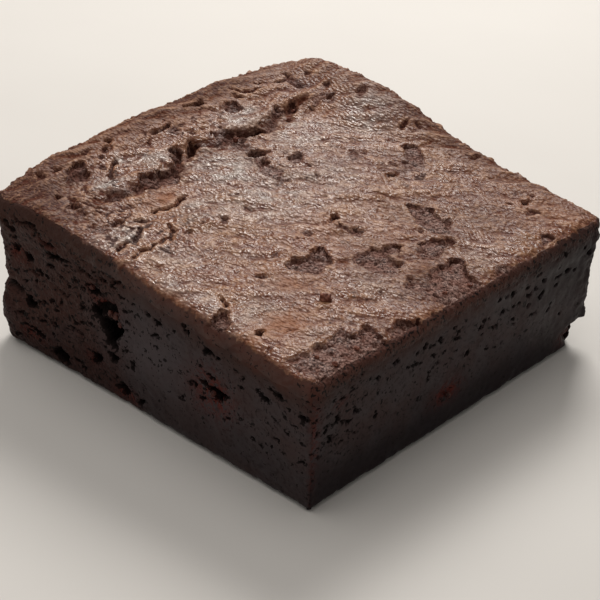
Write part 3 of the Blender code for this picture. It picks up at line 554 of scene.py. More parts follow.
def crustWrinkles(x, y):
    # Worm-like wrinkles that run with the grain, and slower folds and creases under them.
    # On the left strip they run with the edge
    relief = crustRelief
    bendX = x + relief["sway"] * flatNoise(x, y, relief["swaySize"], 31)
    bendY = y + relief["sway"] * flatNoise(x, y, relief["swaySize"], 32, level=3.0)
    leftStrip = step01(*relief["leftStrip"], x + 2.0 * flatNoise(x, y, 5.0, 30))
    wrinkles, folds = [], []
    for turn in (relief["grainTurn"], relief["leftTurn"]):
        along, across = turned(bendX, bendY, 0.0, 0.0, turn)
        along = along / relief["grainStretch"]
        total = np.zeros(x.shape)
        for seed, (size, rise, sharp) in enumerate(relief["wrinkles"]):
            value = np.abs(softNoise(along / size, across / size, 0.0, 33 + seed))
            total += rise * ((1.0 - 2.4 * value) * sharp + (2.4 * value - 0.6) * (1.0 - sharp))
        strength = 0.66 + 0.5 * flatNoise(along, across, 4.5, 47, 2)
        wrinkles.append(np.clip(strength, 0.15, 1.15) * total)
        size = relief["foldSize"]
        fold = relief["fold"] * layeredNoise(along / size / 1.5, across / size, 0.0, 39, 2)
        line = np.abs(softNoise(along / 2.6, across / 1.9, 0.0, 37))
        patch = step01(-0.05, 0.45, flatNoise(x, y, 6.0, 38))
        folds.append(fold - relief["crease"] * np.exp(-(line / 0.07) ** 2) * patch)
    fold = folds[0] * (1.0 - leftStrip) + folds[1] * leftStrip * relief["leftFold"]
    wanderX = bendX + 1.3 * flatNoise(x, y, 3.6, 50) + 0.7 * flatNoise(x, y, 1.3, 55)
    wanderY = bendY + 0.7 * flatNoise(x, y, 1.3, 56, level=4.0)
    distance, _ = lineDistance(wanderX, wanderY, valley["line"])
    side = step01(-0.5, 0.5, -19.6 - x + 0.06 * np.abs(y))
    wander = 1.0 + 0.5 * flatNoise(x, y, 3.0, 29)
    fold -= valley["deep"] * wander * np.exp(-(distance / valley["reach"]) ** 2)
    bank = np.exp(-((distance - valley["bankPlace"]) / valley["bankReach"]) ** 2)
    fold += valley["bank"] * wander * side * bank
    trough = np.exp(-(distance / valley["trough"]) ** 2)
    return wrinkles[0] * (1.0 - leftStrip) + wrinkles[1] * leftStrip, fold, trough


bareCrumb = {"lumpSize": 0.85, "lump": 0.30, "holeSize": 0.9, "hole": 0.45, "fineSize": 0.45, "fine": 0.10}


def crumbGrain(x, y, z, seed):
    # Lumpy, holed ground of bare crumb
    form = bareCrumb
    size = form["lumpSize"]
    relief = form["lump"] * (0.5 - nearestDot(x / size, y / size, z / size, seed))
    relief = relief + form["fine"] * solidNoise(x, y, z, form["fineSize"], seed + 2)
    return relief - form["hole"] * step01(0.30, 0.62, solidNoise(x, y, z, form["holeSize"], seed + 1))


def blurred(field, reach):
    # Running mean of a grid, done twice; reach is in cells
    for _ in range(2):
        for axis in (0, 1):
            padded = np.pad(field, [(reach + 1, reach) if n == axis else (0, 0) for n in (0, 1)], mode="edge")
            total = np.cumsum(padded, axis=axis)
            size = 2 * reach + 1
            field = (np.take(total, range(size, total.shape[axis]), axis=axis)
                     - np.take(total, range(total.shape[axis] - size), axis=axis)) / size
    return field


def crustTop(x, y):
    # Relief over the crust's own level, and the masks that its finish reads
    form = crustRelief
    tornDepth, bare, torn, farSide, hole = tornField(x, y)
    crackDepth, cracked = crackField(x, y)
    wrinkle, fold, trough = crustWrinkles(x, y)
    smooth = zoneSum(x, y, smoothZones, 0.25 * flatNoise(x, y, 2.0, 41))
    rimCrumb = step01(2.6, 0.0, np.minimum(x + halfWidth, halfDepth - y) + 1.2 * flatNoise(x, y, 2.5, 42))
    grain = crumbGrain(x, y, crustLevel(x, y), 43)
    # where a silvery sheen is painted on glossier crust; the wrinkles stand higher there
    glossAndPaintedSheen = zoneSum(x, y, glossAndPaintedSheenZones, 0.5 * flatNoise(x, y, 3.0, 45, 3)) * (1.0 - rimCrumb)
    relief = fold - np.maximum(tornDepth, crackDepth)
    wrinkle = wrinkle * (1.0 - zoneSum(x, y, calmZones, 0.0))
    relief += (1.0 - bare) * (1.0 - 0.75 * smooth) * (1.0 + 0.35 * glossAndPaintedSheen) * wrinkle * (1.0 - 0.4 * rimCrumb)
    lumps = form["bareLumps"] * np.abs(flatNoise(x, y, 0.5, 48))
    relief += bare * (form["bareGrain"] * grain + lumps)
    trough = trough * step01(-0.5, 0.6, flatNoise(x, y, 2.0, 28))
    relief += valley["rough"] * trough * (1.0 - bare) * (grain + 0.3 * flatNoise(x, y, 1.2, 27, 3, 0.6))
    relief += rimCrumb * (form["rimLumps"] * flatNoise(x, y, 1.3, 44, 3, 0.6) + form["rimGrain"] * grain)
    stripFrom, stripTo, stripShare = form["darkStrip"]
    # fine and coarse measure how far each point lies below the relief around it: the finish paints shade in
    # these dips and holes and highlights on the ridges
    fine = blurred(relief, 2) - relief
    coarse = blurred(relief, 4) - relief
    masks = {
        "bare": bare,
        "torn": np.clip(torn, -1.0, 1.5),
        "farSide": farSide,
        "cracked": np.clip(cracked, -0.6, 0.6),
        "crease": np.clip(fine / 0.12, -1.0, 1.0),
        # painted shade in the holes and in the dips at the foot of the walls
        "hole": np.maximum(np.clip(coarse, 0.0, 0.6), hole),
        "glossAndPaintedSheen": glossAndPaintedSheen,
        "rust": zoneSum(x, y, rustZones, 0.5 * flatNoise(x, y, 2.0, 46, 3)),
        "smooth": smooth,
        "strip": stripShare * step01(stripFrom, stripTo, x),
        "trough": trough,
        "dark": zoneSum(x, y, paintedShadeZones, 0.35 * flatNoise(x, y, 2.6, 49, 3)),
    }
    return relief, masks


# Large hollows in the cut faces: outline points as place along the face and height, and depth.
# Along runs with x on the front and back and with y on the right and left
cutHollows = {
    0: {
        "great cavity": ([(-12, 15.8), (-10.8, 16.9), (-9.7, 16.2), (-8.8, 15), (-6.4, 15.8),
            (-5.7, 16.8), (-5, 15.4), (-4.1, 14.7), (-4.3, 13.4), (-5.2, 12.6), (-6.2, 12),
            (-5.8, 9.8), (-7.8, 9.5), (-9, 10.6), (-9.7, 12.6), (-10.1, 13.9), (-11.7, 14)], 5),
        "cavity foot": ([(-8.8, 9), (-6, 9), (-6.4, 7.6), (-7.6, 7.2), (-8.6, 7.9)], 1.8),
        "cavity roof": ([(-10.4, 17.6), (-8, 18.5), (-5.8, 18.7), (-5.2, 16.6), (-6.6, 15.2),
            (-9.6, 15), (-10.6, 16.4)], 1),
        "red ledge": ([(-13.4, 19.8), (-11.4, 20.3), (-9.2, 20.1), (-7.8, 19.2), (-9.6, 18.5),
            (-12.2, 18.2)], 1),
        "upper slot": ([(-22.3, 21.6), (-20.8, 22.4), (-18.6, 22.5), (-16.6, 22.4), (-14.8, 21.9),
            (-16.8, 21.7), (-18.4, 21.3), (-19.6, 21.4), (-20.4, 20.5), (-21.5, 20.8)], 2),
        "left slot": ([(-28.5, 18.3), (-28.1, 19.5), (-26.6, 19.5), (-25.2, 18.9), (-26.4, 18.1),
            (-27.4, 17.5)], 2),
        "left red": ([(-31.4, 19), (-30.8, 20.2), (-29, 20.4), (-28.6, 19.6), (-30, 19)],
            1),
        "split mouth": ([(-28.6, 11.7), (-26.8, 11.1), (-25.8, 10.7), (-25.5, 9.8), (-26.6, 8.9),
            (-27.8, 9.2), (-28.5, 10.4)], 2.2),
        "low hole": ([(-23.7, 2.4), (-22, 3.5), (-21.2, 4.2), (-19.3, 4.2), (-18.5, 3.4),
            (-18.2, 2.2), (-18.8, 1.1), (-20.6, 0.9), (-21.1, 1.8), (-22.4, 1.9)], 2.4),
        "low slot": ([(-30, 5.2), (-28.6, 6.2), (-26.6, 6.1), (-23.6, 5.4), (-23.8, 4.4),
            (-25.2, 4.2), (-27.2, 5.2)], 1.4),
        "low middle": ([(-13.2, 5.4), (-12.9, 6.9), (-11.2, 7.5), (-9.5, 7.2), (-9.4, 6.3),
            (-10.4, 5.5), (-11.3, 4.7), (-12.3, 4.5)], 1.5),
        "low right": ([(-7.8, 2.7), (-6.2, 3.7), (-5.4, 4.5), (-4.3, 4.3), (-3.6, 3.7), (-2, 3.4),
            (-3.6, 2.9), (-4.6, 2.2), (-5.9, 1.5), (-5.7, 2.6)], 1.4),
        "rough holes": ([(11.8, 13.3), (13.6, 13.6), (14.4, 13), (15.6, 12.9), (17, 13.1),
            (19, 13.3), (18.9, 12.3), (17.6, 12.1), (17, 11.3), (15.6, 10.8), (14.8, 11.5),
            (14, 12.1), (12.8, 12.2)], 1.9),
        "under crust": ([(13.7, 18.7), (14.1, 20.1), (15.2, 20.4), (16.6, 19.8), (16.3, 19.1),
            (15, 19.1), (14.6, 18.5)], 1.2),
        "pair left": ([(24.5, 17.4), (25.2, 18.2), (26.2, 17.5), (27.5, 16.9), (27.6, 16.3),
            (26.6, 15.9), (25.8, 16.3), (25.2, 17)], 1.9),
        "pair right": ([(27.2, 18.8), (28, 19.6), (28.7, 19), (29.4, 18.9), (30.8, 18.6),
            (30.2, 17.9), (29.2, 17.5), (28.4, 18.1)], 1.9),
        "near hole": ([(32.8, 17.2), (33.6, 17.7), (34, 17.3), (35, 17.4), (34.8, 16.6),
            (34.2, 15.7), (33.4, 16.3)], 1.5),
    },
    1: {
        "crescent": ([(-13.9, 16.6), (-12.8, 17.1), (-12.1, 16.6), (-11.5, 16), (-12.2, 15.8),
            (-13, 16.2)], 1.1),
        "middle": ([(0.1, 12), (0.2, 12.9), (1, 13), (1.7, 12.7), (1.2, 12.1), (0.8, 11.7)],
            1.3),
        "near": ([(-30.4, 15.6), (-29.2, 15.5), (-28.8, 14.6), (-29.2, 14), (-30, 13.9)], 1.3),
        "far": ([(18.6, 15.9), (19.8, 16.1), (20.4, 15.3), (19.6, 14.5), (19.1, 14.5)], 1.4),
    },
    2: {
        "deep": ([(-22, 15.4), (-19.6, 16.2), (-17.4, 14.4), (-18, 12.6), (-20.2, 12.4),
            (-22.6, 13.2)], 3.2),
        "slot": ([(3.6, 20.6), (6, 21.6), (8.6, 20.8), (6.4, 20)], 1.5),
        "low": ([(14, 8.2), (15.8, 9.4), (18, 8), (16.6, 6.8), (14.8, 6.6)], 2),
    },
    3: {
        "deep": ([(0.4, 13.4), (2.2, 14.8), (4.2, 13.2), (4.6, 10.4), (3, 9.2), (1.6, 10.6)], 3),
        "slot": ([(-28, 16), (-26, 17.2), (-23.6, 16.4), (-25.6, 15.2)], 1.8),
        "high": ([(-14.6, 22.4), (-11.8, 23.2), (-9.6, 22.2), (-12.2, 21.4)], 1.6),
        "foot": ([(24.8, 8), (27, 9.2), (29.4, 7.6), (27.2, 6.4)], 1.6),
    },
}

# Small pores in the cut faces: place along the face, height, length, tall, turn, depth
cutPores = {
    0: [
        (-8.2, 22.4, 2.2, 0.9, -4, 0.9), (-9.6, 21.5, 1, 0.6, 0, 0.6), (-3.8, 20.8, 2.2, 0.6, 6, 0.7),
        (-1.4, 20.8, 1, 0.6, 30, 0.6), (-3.4, 18.5, 1.4, 0.6, 0, 0.6), (-0.4, 18.8, 1.4, 0.5, 12, 0.5),
        (1.8, 20.4, 1.6, 0.7, 0, 0.8), (4, 19.7, 2.2, 1, -10, 1), (7.8, 20, 1, 0.6, 0, 0.6),
        (10, 22.2, 1, 0.7, 0, 0.7), (10.5, 21.2, 1.4, 1.1, 0, 1), (3.4, 17, 2, 1, 10, 0.7),
        (3.3, 15, 1, 0.6, 0, 0.5), (2, 11.6, 1.4, 0.6, -10, 0.5), (-3.9, 11, 0.9, 0.7, 0, 0.6),
        (-2.7, 8.8, 1.8, 0.9, -65, 0.7), (8.4, 8.2, 1.4, 0.6, 30, 0.5), (9, 7.8, 0.8, 0.5, 0, 0.5),
        (10.8, 11.6, 1.8, 1.2, 0, 1.1), (12.9, 9.9, 1.2, 0.9, 0, 0.9), (15, 15, 2.2, 0.9, 0, 0.8),
        (12.8, 16, 1.4, 0.8, 0, 0.7), (18.2, 9, 1.4, 0.6, 30, 0.6), (17, 19.2, 1.4, 0.9, 0, 1),
        (20.4, 18.6, 0.8, 0.7, 0, 0.7), (21.8, 18, 1.6, 0.6, 78, 0.7), (21.4, 16.2, 0.9, 0.6, 0, 0.5),
        (31.4, 17.1, 1.1, 0.6, 0, 0.7), (32.5, 14.6, 1.1, 0.6, 0, 0.6), (33.8, 8.8, 1.6, 0.7, 15, 0.7),
        (30.8, 12.6, 1.1, 0.5, 10, 0.6), (33.6, 12.2, 1, 0.6, -20, 0.6),
        (28.8, 10.2, 1.2, 1, -50, 0.8), (28.6, 13.6, 1.3, 0.6, -50, 0.6), (23.8, 8.2, 1, 0.7, 0, 0.7),
        (25.4, 7.6, 1, 0.6, 0, 0.6), (-22.6, 16.8, 1.8, 0.8, 0, 0.9), (-24.4, 16.8, 1.3, 1, 30, 0.8),
        (-25.6, 14.4, 1, 0.8, 0, 0.7), (-21.6, 19.2, 2.2, 0.8, 10, 0.9),
        (-19, 18.3, 1.2, 0.6, 0, 0.6), (-17, 17.4, 1.1, 0.6, 0, 0.6),
        (-15.2, 19, 1.8, 0.5, 10, 0.6), (-21.6, 12.6, 1.6, 0.7, 16, 0.8),
        (-24, 11.5, 1.4, 0.8, 20, 0.8), (-19.5, 13.2, 1.7, 0.7, 80, 0.7),
        (-30.2, 22.6, 1.3, 0.9, 0, 0.9), (-21.6, 6.4, 1, 0.8, 0, 0.7), (-21.2, 8.6, 2, 0.8, -10, 0.8),
        (-24.2, 7.8, 2.6, 0.8, 8, 0.9), (-29.6, 7.4, 3.4, 0.6, 16, 0.8), (-30.6, 2.7, 2.2, 0.9, -4, 0.9),
        (-16.6, 3.3, 1.8, 0.8, -16, 0.8), (-14.8, 2.6, 1.3, 0.7, 10, 0.7), (-1.3, 2.3, 2.6, 1.1, 26, 1.1),
        (-14, 14.4, 2, 0.7, 20, 0.6), (-12.2, 12.4, 1.6, 0.6, 0, 0.6),
        (-16, 11, 2.4, 0.6, -6, 0.6), (-13.6, 18.2, 1.4, 0.7, 0, 0.6)],
    1: [
        (-17.6, 19.4, 1.6, 0.9, -10, 1), (-21.3, 18.2, 1.1, 0.9, -20, 0.9),
        (-23.2, 19, 1.6, 0.5, -25, 0.6), (-29.2, 18.2, 1.6, 0.9, -20, 0.9),
        (-31.7, 16.4, 1.2, 0.7, 0, 0.8), (-32.2, 14, 1.1, 1.1, 0, 1),
        (-33.7, 14, 1.1, 0.7, -40, 0.7), (-30.6, 11.7, 1.6, 1, -15, 1),
        (-27, 13, 1.4, 0.8, 0, 0.9), (-25.6, 14.3, 1.4, 0.9, -20, 0.9),
        (-28.5, 13.6, 2.2, 0.5, -20, 0.5), (-24, 16.2, 1.1, 0.5, 0, 0.5),
        (-28.4, 10.2, 1, 0.6, 0, 0.6), (-33.2, 9.6, 0.7, 0.9, 0, 0.6),
        (-12.8, 18.8, 1, 0.7, -30, 0.7), (-20.8, 15.2, 0.9, 0.5, 0, 0.5),
        (-21, 11.2, 0.7, 1.3, 0, 0.5), (-33.8, 18.6, 0.8, 0.6, 0, 0.6), (-11, 19.2, 1.1, 0.9, 0, 0.9),
        (-9.2, 18.4, 1.8, 0.8, -10, 0.9), (-7.2, 18.7, 1.7, 1.4, -40, 1.3),
        (-3.9, 19.4, 1.2, 0.7, -30, 0.8), (-2.7, 18.1, 1.5, 0.6, -25, 0.7),
        (-2.6, 16.7, 2.2, 0.8, -20, 1), (-8.3, 16.2, 2, 0.6, -20, 0.7),
        (-5.6, 15.5, 0.9, 0.6, 0, 0.6), (-6.7, 14.1, 1, 0.7, -30, 0.7), (-7.5, 13.8, 0.8, 0.5, 0, 0.5),
        (-8.7, 12.2, 1.1, 0.9, -30, 0.9), (-8.6, 13.3, 0.6, 0.8, 0, 0.6),
        (-2.6, 14.4, 1, 0.5, -20, 0.5), (3.4, 16.2, 1.3, 0.8, 0, 1), (4, 17.1, 1, 0.8, 0, 0.9),
        (5.2, 17.1, 1, 0.5, -20, 0.7), (4, 14.6, 0.9, 0.5, 0, 0.5), (9, 16.4, 1.4, 1, -20, 1.1),
        (7, 14.7, 2.6, 0.6, -12, 0.8), (9.2, 19.5, 1, 0.6, 0, 0.7), (10.8, 19.4, 1.6, 1, -20, 1),
        (11.8, 16.5, 1, 0.6, 0, 0.7), (12, 14.1, 1.4, 0.6, -10, 0.6), (5.6, 11.2, 1.4, 0.6, -20, 0.6),
        (7.9, 10.4, 1, 0.5, -20, 0.5), (14.9, 18.7, 1.6, 0.7, 0, 0.9), (16, 16.8, 1.6, 0.9, 0, 1.1),
        (17.6, 17.3, 1.8, 0.6, -16, 0.9), (19.7, 18.2, 1.6, 0.8, -20, 1),
        (16.1, 14.9, 1.4, 0.7, 0, 0.9), (17.6, 12.6, 2.2, 0.6, -8, 0.7), (17.6, 20.2, 2, 0.5, 0, 0.6),
        (24.6, 21.2, 1.2, 0.7, -30, 0.8), (24, 17.1, 2.6, 0.7, -8, 0.9),
        (26.5, 17.2, 2.2, 0.8, -15, 1), (28.8, 16.4, 1.1, 0.6, -20, 0.7),
        (23.6, 15.5, 1.5, 0.7, 10, 0.9), (32.2, 18.6, 1.8, 1.1, -25, 1.2), (22.3, 11.2, 1.2, 0.8, 0, 0.8),
        (22.9, 12.3, 0.8, 0.5, 0, 0.5), (13.2, 16.4, 1.4, 0.6, 0, 0.7)],
}

# Thin splits in the front face: points along each, width and depth
cutSplits = [
    ([(-29.8, 25.2), (-27.6, 25.0), (-26.0, 25.3), (-23.8, 25.1)], 0.45, 0.9),
    ([(-23.6, 23.8), (-22.4, 23.3), (-20.6, 23.6), (-19.2, 23.2)], 0.4, 0.7),
    ([(-15.2, 21.3), (-12.4, 21.6), (-9.0, 21.3)], 0.35, 0.6),
    ([(-6.4, 22.9), (-5.2, 23.1), (-3.6, 23.8)], 0.45, 0.8),
    ([(-32.6, 23.6), (-31.0, 23.0), (-29.6, 22.6)], 0.5, 0.8),
    ([(-24.6, 24.0), (-24.8, 23.2)], 0.4, 0.5),
    ([(-18.6, 9.0), (-16.4, 9.4), (-14.0, 9.0)], 0.35, 0.5),
    ([(-27.8, 15.8), (-26.0, 16.2), (-24.8, 15.8)], 0.35, 0.5),
    ([(-20.8, 15.6), (-18.2, 15.2), (-16.4, 15.6)], 0.35, 0.45)]

# Reddish crumb in the cut faces: place along, height, reach along and up, strength
redPlaces = {
    0: [(-8.2, 17.4, 2.6, 1.4, 1), (-11.4, 19.3, 1.2, 0.8, 1), (15.2, 12, 4, 3.6, 1),
        (-12.4, 6, 1.6, 1.2, 0.6), (-4.8, 2, 2.4, 1.4, 0.8), (-30, 18.4, 2, 1.6, 0.7),
        (-21.8, 23.2, 2.4, 0.6, 0.7), (-27, 4.4, 3, 1.2, 0.6)],
    1: [(-3.2, 7, 3.4, 1.8, 0.8), (-34.6, 13, 1.2, 8, 0.5), (29.5, 3, 2.4, 1.6, 0.5),
        (-29.4, 17.6, 1.4, 1, 0.5)],
}

# Fine pores strewn over each face: how many, the range they cover along it and up it, then the
# least and most of their size, flatness and lean
hiddenPores = [(330, (-35, 35), (1, 28), (0.5, 2.2), (0.25, 0.6), (-25, 25))]
poreSets = {
    0: [(190, (-35, -4), (1, 26), (0.4, 1.7), (0.2, 0.5), (-16, 22)),
        (55, (-6, 35.5), (6, 21), (0.3, 0.8), (0.4, 0.9), (-50, 20))],
    1: [(110, (-35, 34), (8, 21.5), (0.3, 1), (0.3, 0.7), (-34, 0)),
        (60, (-35.5, -24), (7, 20), (0.3, 0.9), (0.4, 0.9), (-40, 30))],
    2: hiddenPores,
    3: hiddenPores,
}
crumbRelief = {
    "columns": (300, 300, 140, 140), "rows": 100,
    "tuck": 0.6, "tuckIn": 0.6,            # how far under the rim and inside it the cut faces end
    "footWaver": 0.5, "baseLift": 0.18,
    "poreSeed": 7, "poreShare": 0.95,
    "wall": 0.30,              # width of a hollow's wall
    "split": {"height": 12.0, "thick": 1.0, "deep": 2.3, "reach": 8.0},
    "notch": {"deep": 2.2, "height": (5.2, 3.9), "reach": (6.5, 3.5)},
    "waver": ((1.2, 0.42), (0.55, 0.3)),   # size and reach of the unevenness of hollows' outlines
    # the next three are for the front, right, back and left face
    "rimRough": (0.15, 1.0, 0.8, 0.8),     # how rough the band under the crust is
    "footShade": (0.45, 1.0, 0.5, 0.5),    # how dark the painted shade at the foot is
    "leftness": (0.0, 0.0, 0.6, 0.8),      # how brown and crumbly, beside the front's left part
    "leftFrom": (2.0, -9.0),               # where along the front that part starts and is full
    "paintedFaceSheen": (1.0, 13.0, 11.0, 6.5),       # centre along, height and reaches of the painted grey sheen on the front
    "paintedFarShade": (30.0, 17.0, 15.0, 8.0),    # and of the painted shade on the right face's far end
    "grain": 0.28, "redGrain": 0.35,       # relief of rough and of reddish crumb
    "redSunk": 0.5, "crumble": 0.35, "layers": 0.14,
    "hidden": {"rough": 0.7, "hollowed": -0.8, "below": 20.0},   # masks of the points out of sight
    "mapSize": 150.0,          # millimetres across the whole map
}


def listPores():
    # Every small pore, as face, along, height, length, tall, turn and depth
    shrink = crumbRelief["poreShare"]
    pores = [(face, a, h, long * shrink, tall * shrink, turn, deep)
             for face, listed in cutPores.items() for a, h, long, tall, turn, deep in listed]
    dice = np.random.default_rng(crumbRelief["poreSeed"])
    for face, sets in poreSets.items():
        for count, alongRange, heightRange, (low, high), flatRange, leanRange in sets:
            for _ in range(count):
                size = low + (high - low) * dice.random() ** 2.4
                along = dice.uniform(*alongRange)
                height = dice.uniform(*heightRange)
                tall = size * dice.uniform(*flatRange)
                pores.append((face, along, height, size, tall, dice.uniform(*leanRange), 0.2 + 0.9 * tall))
    return pores


def alongFace(x, y, face):
    # The coordinate that runs along each face
    return np.where((face == 0) | (face == 2), x, y)


def cutRelief(along, height, face, x, y, pores):
    # Depth of the hollows, splits and pores below the cut face and the distance inside their
    # edges, row by column
    depth = np.zeros(height.shape)
    hollowed = np.full(height.shape, -1.0)
    warpA, warpB = np.zeros(height.shape), np.zeros(height.shape)
    for number, (size, reach) in enumerate(crumbRelief["waver"]):
        warpA += reach * solidNoise(x, y, height, size, 51 + number)
        warpB += reach * solidNoise(x, y, height, size, 53 + number)
    wall = crumbRelief["wall"]
    wideAlong = np.broadcast_to(along, height.shape)
    bentAlong, bentHeight = wideAlong + warpA, height + warpB
    for number, hollows in cutHollows.items():
        for points, deep in hollows.values():
            low, high = np.min(points, axis=0) - 1.0, np.max(points, axis=0) + 1.0
            columns = np.nonzero((face == number) & (along > low[0]) & (along < high[0]))[0]
            if not len(columns):
                continue
            block = slice(columns[0], columns[-1] + 1)
            inside = outlineDistance(bentAlong[:, block], bentHeight[:, block], points)
            bowl = deep * step01(0.0, 1.0, (inside - 0.1) / (wall + 0.16 * deep))
            bowl = bowl * (0.8 + 0.2 * step01(0.0, 1.5, inside))
            depth[:, block] = np.maximum(depth[:, block], bowl)
            hollowed[:, block] = np.maximum(hollowed[:, block], inside)
    for number, centre, level, long, tall, turn, deep in pores:
        reach = 0.6 * max(long, tall) + 0.9
        columns = np.nonzero((face == number) & (np.abs(along - centre) < reach))[0]
        if not len(columns):
            continue
        block = slice(columns[0], columns[-1] + 1)
        share = min(1.0, 0.12 + 0.75 * tall)
        placeA = wideAlong[:, block] + share * warpA[:, block]
        placeB = height[:, block] + share * warpB[:, block]
        a, b = turned(placeA, placeB, centre, level, turn)
        far = np.hypot(a / (0.5 * long), b / (0.5 * tall))
        inside = (1.0 - far) * 0.5 * tall
        depth[:, block] = np.maximum(depth[:, block], deep * step01(0.02, 0.24, inside))
        hollowed[:, block] = np.maximum(hollowed[:, block], inside)
    front = face == 0
    for points, width, deep in cutSplits:
        distance, place = lineDistance(bentAlong[:, front], bentHeight[:, front], points)
        taper = np.clip(np.minimum(place, len(points) - 1 - place) * 2.0, 0.3, 1.0)
        edge = 1.0 - step01(0.2 * width, 0.5 * width * taper + 0.2, distance)
        depth[:, front] = np.maximum(depth[:, front], deep * taper * edge)
        hollowed[:, front] = np.maximum(hollowed[:, front], 0.4 * width * taper - distance)
    return depth, hollowed


def splitDepth(x, y, z):
    # The split between two layers at the front left corner
    split = crumbRelief["split"]
    away = np.hypot(x + halfWidth, y + halfDepth)
    line = split["height"] + 0.5 * flatNoise(x, y, 3.0, 61) - 0.12 * (x + halfWidth)
    shape = np.exp(-((z - line) / (0.5 * split["thick"])) ** 2)
    return split["deep"] * shape * step01(split["reach"], 0.5 * split["reach"], away)


def footNotch(x, y, z):
    # The right corner is undercut at its foot
    notch = crumbRelief["notch"]
    away = np.hypot(x - halfWidth, y - halfDepth) + 0.8 * solidNoise(x, y, z, 1.5, 62)
    low = step01(*notch["height"], z + 0.4 * flatNoise(x, y, 2.0, 63))
    return notch["deep"] * low * step01(*notch["reach"], away)


def cutSurface(x, y, z, along, face, edgeHeight, pores):
    # Outward offset of the cut faces with all their relief, and their masks
    cut = crumbRelief
    offset = sideOffset(x, y, z, edgeHeight)
    depth, hollowed = cutRelief(along, z, face, x, y, pores)
    depth = np.maximum(depth, splitDepth(x, y, z))
    wideFace = np.broadcast_to(face, z.shape)
    leftness = step01(*cut["leftFrom"], x + 3.0 * solidNoise(x, y, z, 6.0, 71)) * (wideFace == 0)
    leftness = np.maximum(leftness, np.array(cut["leftness"])[wideFace])
    red = np.zeros(z.shape)
    for number, places in redPlaces.items():
        for centre, level, reachA, reachB, strength in places:
            spot = strength * softSpot(along, z, centre, level, reachA, reachB)
            red = np.maximum(red, np.where(wideFace == number, spot, 0.0))
    red = np.clip(red * (1.0 + 0.6 * solidNoise(x, y, z, 1.5, 76)), 0.0, 1.0)
    below = np.where(wideFace == 0, 1.0 - 0.35 * step01(-9.0, 0.0, x), 1.15)
    nearCorner = np.hypot(x - halfWidth, y + halfDepth) + 0.5 * solidNoise(x, y, z, 1.2, 70)
    red = np.maximum(red, 0.2 * step01(1.7, 0.3, nearCorner))
    rough = np.clip(0.45 * leftness + 0.9 * red, 0.0, 1.0)
    rough = np.maximum(rough, 0.8 * step01(0.4, 1.0, depth))
    rough = np.maximum(rough, 0.5 * step01(2.0, 0.6, nearCorner))
    fromRim = edgeHeight - z + 0.8 * solidNoise(x, y, z, 1.6, 80)
    rough = np.maximum(rough, step01(2.8, 1.2, fromRim) * np.array(cut["rimRough"])[wideFace])
    # crumbly corners, all but the near one
    fromCorner = np.hypot(np.abs(x) - halfWidth, y - halfDepth)
    fromCorner = np.minimum(fromCorner, np.hypot(x + halfWidth, y + halfDepth))
    crumble = step01(7.0, 0.0, fromCorner)
    grain = crumbGrain(x, y, z, 72)
    streakA, streakB = turned(along, z, 0.0, 0.0, -24.0)
    relief = 0.05 * softNoise(streakA / 3.4, streakB / 1.2, face * 3.0, 73)
    relief = relief + 0.10 * solidNoise(x, y, z, 4.2, 74) + 0.05 * solidNoise(x, y, z, 1.4, 75)
    layers = layeredNoise(x / 2.4, y / 2.4, z / 0.9, 77, 3, 0.55)
    relief = relief + leftness * cut["layers"] * layers
    relief = relief + (rough * cut["grain"] + red * cut["redGrain"]) * grain - cut["redSunk"] * red
    lumps = layeredNoise(x / 2.6, y / 2.6, z / 2.0, 78, 3, 0.55)
    relief = relief + crumble * cut["crumble"] * lumps
    offset = offset - depth + relief - footNotch(x, y, z)
    # how far a point lies below what lies around it, which the finish paints as shade
    paintedHollowShade = depth / 0.5
    if len(offset) > 20:   # the whole face, where each point can be set against what lies around it
        paintedHollowShade = (blurred(offset, 3) - offset) / 0.35
    # painted shade: darker towards the foot
    foot = step01(12.5, 2.5, z + 2.0 * solidNoise(x, y, z, 5.0, 79)) * np.array(cut["footShade"])[wideFace]
    # painted shade on the right face's far end
    paintedFarShade = softSpot(along, z, *cut["paintedFarShade"]) * (wideFace == 1)
    # where a grey sheen is painted on the front
    paintedFaceSheen = softSpot(along, z, *cut["paintedFaceSheen"]) * (wideFace == 0)
    masks = {
        "paintedHollowShade": np.clip(paintedHollowShade, 0.0, 1.0),
        "deep": step01(0.25, 1.1, depth),
        "hollowed": np.clip(hollowed, -0.8, 1.0),
        "rough": rough,
        "leftness": leftness,
        "redness": red,
        "below": np.minimum((edgeHeight - z) * below, 1.8 + 2.2 * nearCorner),
        "foot": np.maximum(foot, 0.95 * paintedFarShade),
        "paintedFaceSheen": paintedFaceSheen,
    }
    return offset, masks


def gridQuads(rows, columns, first, closed):
    # Corner indices of a grid's quads; closed joins the last column to the first
    r, c = np.meshgrid(np.arange(rows - 1), np.arange(columns if closed else columns - 1), indexing="ij")
    ahead = (c + 1) % columns
    corners = (r * columns + c, r * columns + ahead, (r + 1) * columns + ahead, (r + 1) * columns + c)
    return first + np.stack(corners, axis=-1).reshape(-1, 4)


def joinRings(ring, below):
    # Quads between two rings of points
    return np.stack([ring, below, np.roll(below, -1), np.roll(ring, -1)], axis=-1)


def closeRing(ring, tip, upward):
    # Triangles that close a ring at one point
    ahead = np.roll(ring, -1)
    ends = (ring, ahead) if upward else (ahead, ring)
    return np.stack([*ends, np.full(len(ring), tip)], axis=-1)


